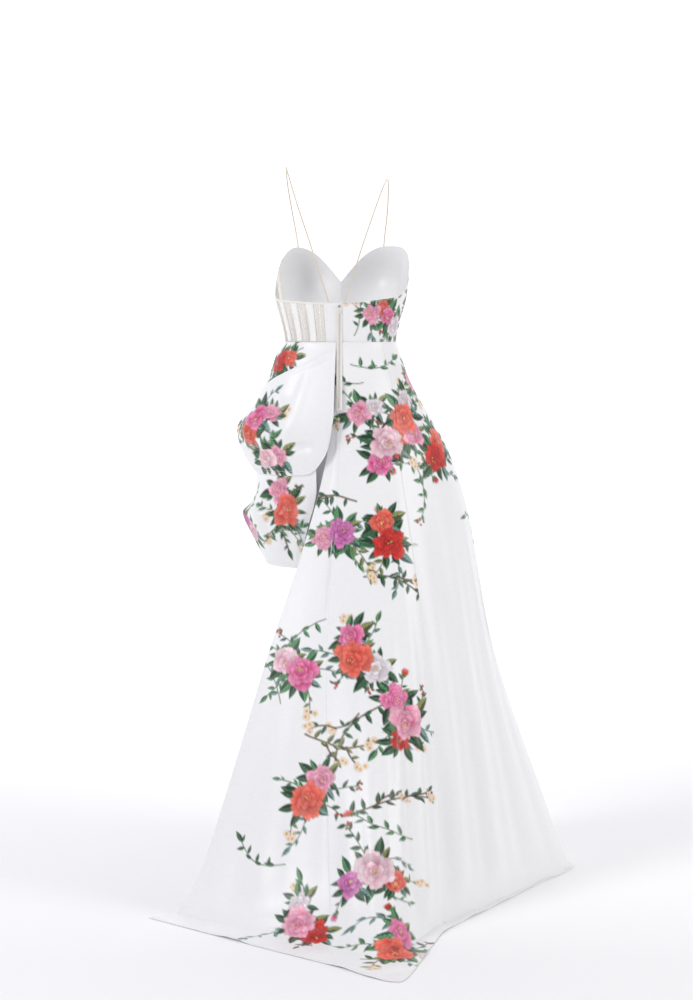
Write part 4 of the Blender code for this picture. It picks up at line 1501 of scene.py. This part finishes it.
HEM_LINES = [
    # panel, row, or else column
    ("train_back_left", -4), ("train_back_right", -4), ("train_side", -4), ("train_front", -4),
    ("upper_cowl", -5), ("lower_swag", -4), ("mini_front", -4),
    ("train_back_left", None, 3), ("lower_swag", None, -5), ("upper_cowl", None, -5),
]
BAND_LINES = [
    ("satin_back_right", 1), ("satin_side_right", 1), ("cup_left", 1), ("cup_right", 1),
    ("satin_back_right", -2), ("satin_side_right", -2), ("satin_front_right", -2),
    ("placket_left", None, 2), ("cup_left", -2), ("cup_right", -2),
]
hems = [panel_line(*line) for line in HEM_LINES]
band_edges = [panel_line(*line) for line in BAND_LINES]

BONE_ANGLES = [-29.0, -47.0, -66.0, -85.0, -104.0, -126.0, -146.0, -166.0]
CUP_EDGE = -115             # bones farther round than this end under the cup
CASING_OUT = 2 * NET + 2 * SEAM_GAP + 0.0001
CASING_HALF = 2.45          # degrees from a bone's middle to its casing's lines
CASING_TOP = 0.006          # from the band's top edge to a casing's lines
EDGE_INSET = 0.002          # from other edges to their stitches
WAIST_INSET = 0.003
casing_lines = []
for middle in BONE_ANGLES:
    under_cup = middle < CUP_EDGE
    top = CUP_SEAM_HEIGHT - EDGE_INSET if under_cup else top_edge(middle) - CASING_TOP
    heights = np.linspace(top, WAIST_HEIGHT + WAIST_INSET, 9)
    for side_turn in (-CASING_HALF, CASING_HALF):
        casing_lines.append(on_figure(middle + side_turn, heights, CASING_OUT))
angles = np.linspace(CUP_EDGE + 2, PLACKET_LEFT - 1, 60)
casing_lines.append(on_figure(angles, top_edge(angles) - EDGE_INSET, CASING_OUT))

BAND_STEP = 0.012           # above the waist, where the zip steps out over the skirt's layers
ZIP_SPREAD = 0.0080         # how far it stands off farther down, and over which drop
ZIP_DROP = 0.120


def back_line(height):
    """How far the cloth beside the zip stands off the figure."""
    step = ease((WAIST_HEIGHT + BAND_STEP - height) / BAND_STEP)
    spread = ZIP_SPREAD * ease((WAIST_HEIGHT - height) / ZIP_DROP)
    return LAYER + SEAM_GAP + step * (LAYER + spread)


def zip_line(x, top, bottom, lift):
    """A line down the back at a distance x from the centre."""
    heights = np.linspace(top, bottom, 40)
    angle = np.degrees(np.arcsin(x / half_width(heights)))
    return on_figure(angle, heights, back_line(heights) + lift)


ZIP_CENTRE = -0.0030
ZIP_TOP = BAND_BACK_TOP - 0.006
ZIP_SEAM = 0.0048           # from the zip's middle to each of its seams
zip_seams = [
    zip_line(ZIP_CENTRE + x, ZIP_TOP - EDGE_INSET, ZIP_END_HEIGHT + 0.003, 0.0009)
    for x in (-ZIP_SEAM, ZIP_SEAM)
]
coil_line = [zip_line(ZIP_CENTRE, ZIP_TOP - 0.016, ZIP_END_HEIGHT + 0.004, 0.0015)]

SATIN_STITCH = {"Pitch": 0.0036, "Length": 0.0027, "Radius": 0.00026, "Along": 1.0, "Across": (0, 0, 0)}
CASING_STITCH = {**SATIN_STITCH, "Pitch": 0.0030, "Length": 0.0022}
sewn = [
    sew("hem_stitches", hems, thread, "trim", Seed=3, **SATIN_STITCH),
    sew("band_stitches", band_edges, thread, "trim", Seed=4, **SATIN_STITCH),
    sew("casing_stitches", casing_lines, thread, "trim", Seed=5, **CASING_STITCH),
    sew("zip_stitches", zip_seams, thread, "trim", Seed=6, **SATIN_STITCH),
    sew(
        "zip_coil_teeth", coil_line, coil, "trim", ("zip_coil",), Seed=7,
        Pitch=0.0015, Length=0.0036, Radius=0.00055, Along=0.12, Across=(1, 0, 0),
    ),
]
for piece in sewn:
    print(piece.name, "faces:", len(piece.data.polygons))

# %% [markdown]
# ## Flat cuts
# Each cloth piece's flat cut is measured: the width and length of the rectangle it is cut
# from, and its own area where the cut isn't a rectangle. These come from the longest row and
# column of the made panel and from its faces, and the script prints them.


def surface_area(points):
    """The area of a grid's faces."""
    a, b, c, d = points[:-1, :-1], points[1:, :-1], points[1:, 1:], points[:-1, 1:]
    return 0.5 * np.linalg.norm(np.cross(c - a, d - b), axis=2).sum()


def longest(points, axis):
    """The longest of a grid's columns (axis 0) or rows (axis 1)."""
    return float(np.linalg.norm(np.diff(points, axis=axis), axis=2).sum(axis=axis).max())


NARROW = 0.32               # a pointed gore lies askew on the bolt, on a strip narrower than its hem
whole = 0.0
for panel in panels:
    piece = cloth[panel.name]
    wide = longest(panel.outer, 1)
    long = longest(panel.outer, 0)
    area = float(surface_area(panel.outer))
    whole += area
    if area < NARROW * wide * long:
        wide = area / (NARROW * long)
    print(f"{panel.name}: {wide:.3f} x {long:.3f} m, {area:.4f} m2, share {area / wide / long:.2f}")
print(f"whole cut: {whole:.3f} m2")
